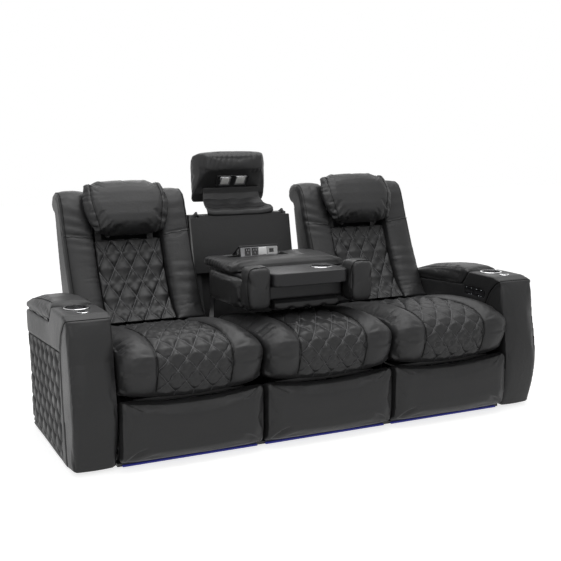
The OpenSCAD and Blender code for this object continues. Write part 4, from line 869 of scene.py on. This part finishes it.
under = remesh(copyNode("consoleQuilt", "console_quilt"), 0.0058, 2)
points, normals = surface(under)
u, v = points[:, 0] / 0.08, (points[:, 1] + 0.33) / 0.075
down = normals[:, 2] < -0.3
raised(under, points, normals, 0.007 * (quiltRelief(u, v) - 0.6) * down)
setUv(under, u, v)
useMaterials(under, finishes["leather"], finishes["quilt"], faces=faceMask(under, down))
settle(under, "console", "leather_quilt", "console_quilt", padded=0.6)
print("console made")

middle = {
    "voxel": 0.0055, "pressure": 4, "cap": 0.006,
    "plateTop": (0.456, 1.1069), "plateFoot": (0.5504, 0.9777),  # the slanted underside, y and z
    "plate": (-0.089, 0.081, 0.235, 0.670),  # from and to across, then along the slope
    "lamps": ((-0.070, -0.015, 0.285, 0.605), (0.012, 0.070, 0.262, 0.600)),
    # flap from the underside over the top of the back panel: y, z, half width
    "flap": [(0.520, 1.012, 0.150), (0.524, 0.985, 0.152), (0.513, 0.957, 0.156), (0.480, 0.932, 0.163),
             (0.442, 0.917, 0.170), (0.415, 0.911, 0.175), (0.399, 0.903, 0.178), (0.395, 0.890, 0.178),
             (0.402, 0.880, 0.176)],
    "flapColumns": 60, "flapRows": 60, "flapThick": 0.008, "sag": 0.006, "ripple": 0.0025, "curl": 0.010,
}
crown = remesh(copyNode("middleHeadrest", "headrest_centre"), middle["voxel"], 3)
points, normals = surface(crown)
under = (normals[:, 2] < -0.5) & (points[:, 2] < 1.12)
inflate(crown, middle["pressure"], under, middle["cap"])
points, normals = surface(crown)
facing = smoothStep(0.2, 0.7, -normals[:, 1]) * (points[:, 2] > 1.09)
wave = np.sin(points[:, 0] * 2 * math.pi / 0.026 + 7 * noiseAt(points, 9, 51))
relief = -0.0028 * np.maximum(0, wave) * facing * np.clip(0.5 + noiseAt(points, 12, 53), 0, 1)
relief += 0.0016 * noiseAt(points, 9, 55)
raised(crown, points, normals, relief)
below = faceMask(crown, (normals[:, 2] < -0.25) & (points[:, 1] < 0.56))
useMaterials(crown, finishes["leather"], finishes["shade"], faces=below)
settle(crown, "headrest_centre", "leather", "headrest_centre", padded=0.75)

slope = np.array(middle["plateFoot"]) - np.array(middle["plateTop"])
outward = np.array([-slope[1], slope[0]]) / np.linalg.norm(slope)
outward *= -1 if outward[0] > 0 else 1


# A block is made flat, as wide and as long as its place on the underside, and then laid on the slope.
def onUnderside(name, area, low, high, finish, inset, depth):
    x0, x1, s0, s1 = area
    length = np.linalg.norm(slope)
    obj = startBlock(name, (x0, s0 * length, low), (x1, s1 * length, high))
    roundEdges(sinkFace(obj, (0, 0, 1), inset, depth), 0.0012)
    points = readPoints(obj)
    placed = np.array(middle["plateTop"]) + points[:, 1:2] * (slope / length) + points[:, 2:3] * outward
    writePoints(obj, np.column_stack([points[:, 0], placed]))
    hardFinish(facingOut(obj), finish)
    return settle(obj, "headrest_centre", "plastic")


onUnderside("lampPlate", middle["plate"], -0.004, 0.0065, "gloss", 0.003, -0.0015)
for k, area in enumerate(middle["lamps"]):
    onUnderside("lampFrame_%d" % k, area, 0.0045, 0.0085, "chrome", 0.005, -0.002)
    inner = (area[0] + 0.007, area[1] - 0.007, area[2] + 0.045, area[3] - 0.045)
    onUnderside("lampLens_%d" % k, inner, 0.005, 0.0078, "lamp", 0.006, 0.0012)

rows = middle["flapRows"]
profile = resampled(middle["flap"], rows)
bpy.ops.mesh.primitive_grid_add(x_subdivisions=middle["flapColumns"], y_subdivisions=rows - 1, size=2)
flap = bpy.context.active_object
flap.name = flap.data.name = "headrestFlap"
points = readPoints(flap)
row = (1 - points[:, 1]) / 2 * (rows - 1)
y, z, half = profile[np.clip(row.round().astype(int), 0, rows - 1)].T
across = points[:, 0]
hang = np.sin(math.pi * np.clip(row / rows, 0, 1))
sag = middle["sag"] * (1 - across ** 2) * hang
fold = middle["ripple"] * np.sin(9 * across + 0.12 * row) * hang
curl = middle["curl"] * np.abs(across) ** 8 * smoothStep(30, 50, row)  # the ends of the lip turn up
writePoints(flap, np.column_stack([across * half, y + sag * 0.5, z - sag + fold + curl]))
applyModifier(flap, "SOLIDIFY", thickness=middle["flapThick"], offset=0)
facingOut(roundEdges(flap, 0.002))
useMaterials(flap, finishes["leather"])
settle(flap, "headrest_centre", "leather_dark", "headrest_centre_shell", padded=0.2)
y, z, half = profile[40]
lip = [(a * half * 0.985, y - 0.0045, z + 0.002 + middle["curl"] * abs(a) ** 8) for a in np.linspace(-1, 1, 40)]
seamTube("flapSeam", [lip], 0.0013, "headrest_centre", flap, 0.0003)
print("middle headrest made")

outlet = {
    "x": (-0.150, 0.048), "foot": (0.06197, 0.69998), "lean": 0.1376, "face": 0.0656, "depth": 0.0806,
    "shown": (0.0235, 0.0610),  # the face above the pad, along the slope
    "sockets": ((-0.124, -0.095), (-0.088, -0.057)), "slots": ((-0.006, 0.026), (0.006, 0.026), (0.0, 0.012)),
    # beside the sockets: from and to across, how far it stands out, its margins, finish, and its sunk face
    "others": {
        "outletSquare": (-0.053, -0.013, 0.0036, 0.0, 0.002, "white", (0.002, 0.0008)),
        "outletPort": (-0.009, 0.044, 0.0030, 0.0, 0.002, "pale", (0.003, -0.0008)),
        "portHole": (0.001, 0.024, 0.0038, 0.010, 0.010, "gloss", (0.002, -0.001)),
    },
    "hinge": (0.146, 0.719), "lidLean": 31.5, "lidLength": 0.090,
}


# Leans a block back about a place in y and z.
def leanBack(obj, foot, angle):
    points = readPoints(obj)
    c, s = math.cos(angle), math.sin(angle)
    y = foot[0] + points[:, 1] * c + points[:, 2] * s
    z = foot[1] - points[:, 1] * s + points[:, 2] * c
    writePoints(obj, np.column_stack([points[:, 0], y, z]))


# A block in the unit's own frame, x across, y into the unit and z up its face, set in its place at the end.
# Its front is sunk, or else its rear is lowered towards the hinge.
def onOutlet(name, low, high, finish, sink=None, bevel=0.0008):
    obj = startBlock(name, low, high)
    if sink:
        sinkFace(obj, (0, -1, 0), *sink)
    else:
        points = readPoints(obj)
        top, depth = points[:, 2].max(), points[:, 1].max()
        points[:, 2] = np.where(points[:, 1] > depth * 0.5, 0.0274 + (points[:, 2] / top) * 0.003, points[:, 2])
        writePoints(obj, points)
    roundEdges(obj, bevel)
    leanBack(obj, outlet["foot"], outlet["lean"])
    hardFinish(obj, finish)
    return settle(obj, "outlet", "plastic")


x0, x1 = outlet["x"]
low, high = outlet["shown"]
inner, face = outlet["depth"], outlet["face"]
housing = onOutlet("outletHousing", (x0 + 0.004, 0.001, 0.0), (x1 - 0.004, inner, face), "plastic")
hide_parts("outlet_unit")
for name, a, b in (("outletEnd_left", x0, x0 + 0.0045), ("outletEnd_right", x1 - 0.0045, x1)):
    onOutlet(name, (a, -0.0025, 0.0), (b, inner, face), "gloss")
onOutlet("outletFace", (x0 + 0.006, -0.0012, low - 0.006), (x1 - 0.005, 0.002, high), "grey", (0.0018, -0.0006))
for k, (a, b) in enumerate(outlet["sockets"]):
    onOutlet("socketBlock_%d" % k, (a, -0.0030, low), (b, 0.001, high - 0.003), "gloss", (0.003, -0.0012))
    for j, (dx, dz) in enumerate(outlet["slots"]):
        x, z = (a + b) / 2 + dx, low + dz
        onOutlet("socketSlot_%d_%d" % (k, j), (x - 0.0016, -0.0034, z - 0.004), (x + 0.0016, -0.001, z + 0.004),
                 "grey", (0.0006, -0.0005), 0.0003)
for name, (a, b, out, below, above, finish, sink) in outlet["others"].items():
    onOutlet(name, (a, -out, low + below), (b, 0.001, high - above), finish, sink)
lid = startBlock("outletLid", (x0 - 0.003, -outlet["lidLength"], 0.001), (x1 + 0.003, 0.002, 0.0045))
roundEdges(sinkFace(lid, (0, 0, 1), 0.006, -0.0006), 0.0012)
leanBack(lid, outlet["hinge"], math.radians(outlet["lidLean"]))
hardFinish(lid, "plastic")
settle(lid, "outlet", "plastic")
print("outlet made")

# small lit marks above and below the rockers of the control panels
marks = {"x": 0.9218, "y": (-0.352, -0.334, -0.315, -0.276, -0.257, -0.238), "z": (0.5118, 0.5410), "size": 0.0032}
for side, m in sofa["mirror"].items():
    base = None
    for k, y in enumerate(marks["y"]):
        for j, z in enumerate(marks["z"]):
            if (k + j) % 3 == 2:
                continue
            long = marks["size"] * (1.6 if (k + j) % 2 else 0.9)
            x = m * marks["x"]
            reach = np.array([0.0006, long / 2, marks["size"] / 3])
            dot = startBlock("panelMark", (x, y, z) - reach, (x, y, z) + reach)
            roundEdges(sinkFace(dot, (-m, 0, 0), 0.0006, -0.0002), 0.0003)
            base = dot if base is None else joined(base, dot)
    base.name = base.data.name = "panelMarks_" + side
    useMaterials(base, finishes["mark"])
    settle(base, "frame", "plastic")
print("marks made")

# dark cloth that closes the base at the rear and the backs underneath: a corner, its two edges, and the grid
lining = {
    "rear": ((-0.918, 0.2335, 0.026), (1.836, 0, 0), (0, 0, 0.304), 90, 18, 0.002),
    "bottom": ((-0.905, -0.490, 0.0086), (1.81, 0, 0), (0, 0.720, 0), 90, 40, 0.0005),
    "under": ((-0.285, 0.112, 0.430), (0.57, 0, 0), (0, 0.2235, 0.006), 40, 16, 0.003),
    "middle": ((-0.3065, 0.464, 0.060), (0.613, 0, 0), (0, 0, 0.580), 40, 36, 0.002),
    "side": ((0, 0.236, 0.060), (0, 0.228, 0), (0, 0, 0.540), 16, 36, 0.0006),
    "sideX": 0.3068, "thick": 0.0014,
}


def makeCloth(name, look, body, shift=0.0):
    corner, across, upward, columns, rows, sag = look
    bpy.ops.mesh.primitive_grid_add(x_subdivisions=columns, y_subdivisions=rows, size=2)
    obj = bpy.context.active_object
    obj.name = obj.data.name = name
    points = readPoints(obj)
    u, v = (points[:, 0:1] + 1) / 2, (points[:, 1:2] + 1) / 2
    away = np.cross(across, upward)
    ripple = sag * np.sin(math.pi * v) * (0.4 + 0.6 * np.sin(5 * u * math.pi) ** 2)
    placed = np.array(corner) + u * np.array(across) + v * np.array(upward) + ripple * away / np.linalg.norm(away)
    writePoints(obj, placed + np.array([shift, 0, 0]))
    applyModifier(obj, "SOLIDIFY", thickness=lining["thick"], offset=0)
    facingOut(obj)
    useMaterials(obj, finishes["lining"])
    settle(obj, body, "back_fabric")
    return obj


makeCloth("rearLining", lining["rear"], "frame")
makeCloth("bottomLining", lining["bottom"], "frame")
makeCloth("middleLining", lining["middle"], "frame")
for side, m in sofa["mirror"].items():
    makeCloth("sideLining_" + side, lining["side"], "frame", m * lining["sideX"])
    makeCloth("underLining_" + side, lining["under"], "back_" + side, sofa["seatX"][side])
print("linings made")

view = {"place": (-1.89698, -3.99199, 1.33276), "yaw": 25.7437, "pitch": 9.3311, "roll": -0.2104, "lens": 61.444}
yaw, pitch, roll = (math.radians(view[k]) for k in ("yaw", "pitch", "roll"))
forward = Vector((math.sin(yaw) * math.cos(pitch), math.cos(yaw) * math.cos(pitch), -math.sin(pitch)))
right = Vector((math.cos(yaw), -math.sin(yaw), 0))
up = right.cross(forward)
right, up = right * math.cos(roll) + up * math.sin(roll), up * math.cos(roll) - right * math.sin(roll)
lensData = bpy.data.cameras.new("camera")
lensData.lens, lensData.sensor_width, lensData.sensor_fit = view["lens"], 36, "HORIZONTAL"
lensData.clip_end = 60
cam = addObject("camera", lensData)
cam.matrix_world = Matrix.Translation(view["place"]) @ Matrix((right, up, -forward)).transposed().to_4x4()
bpy.context.scene.camera = cam

light = {"sky": 0.42, "floorGlow": 0.76, "lamps": [
    ("overhead", (0.0, -0.2, 3.2), (0, 0, 0), 3.0, 80),
    ("frontLeft", (-2.6, -3.2, 2.6), (0, 0, 0.4), 2.2, 28),
    ("rear", (0.8, 3.4, 2.4), (0, 0, 0.6), 2.4, 22),
]}
for name, place, aim, size, power in light["lamps"]:
    lamp = bpy.data.lights.new(name, "AREA")
    lamp.size, lamp.energy = size, power
    obj = addObject(name, lamp)
    obj.location = place
    obj.rotation_euler = (Vector(aim) - Vector(place)).to_track_quat("-Z", "Y").to_euler()

world = bpy.data.worlds.new("studio")
bpy.context.scene.world = world
world.use_nodes = True
tree = world.node_tree
level = ranged(tree, seenRays(tree), (0.0, 1.0), (light["sky"], 1.0))
tree.links.new(level, tree.nodes["Background"].inputs["Strength"])
tree.nodes["Background"].inputs["Color"].default_value = (1, 1, 1, 1)

bpy.ops.mesh.primitive_plane_add(size=24, location=(0, 0, 0))
floor = bpy.context.active_object
floor.name = "floor"
bpy.ops.object.transform_apply()
material, tree, shader = startMaterial("paleFloor")
shader.inputs["Roughness"].default_value = 0.9
place = addNode(tree, "TexCoord").outputs["Object"]
speck = addNode(tree, "TexNoise", {"Vector": place}, {"Scale": 3})
tone = blended(tree, speck.outputs["Fac"], (0.49, 0.49, 0.49, 1), (0.51, 0.51, 0.51, 1))
tree.links.new(tone, shader.inputs["Base Color"])
glow = addNode(tree, "Emission", {"Strength": calc(tree, "MULTIPLY", seenRays(tree), light["floorGlow"])},
               {"Color": (1, 1, 1, 1)})
mix = addNode(tree, "AddShader", {0: shader.outputs[0], 1: glow.outputs[0]})
tree.links.new(mix.outputs[0], tree.nodes["Material Output"].inputs["Surface"])
useMaterials(floor, material)
bpy.context.scene.view_settings.view_transform = "Standard"
print("stage made")
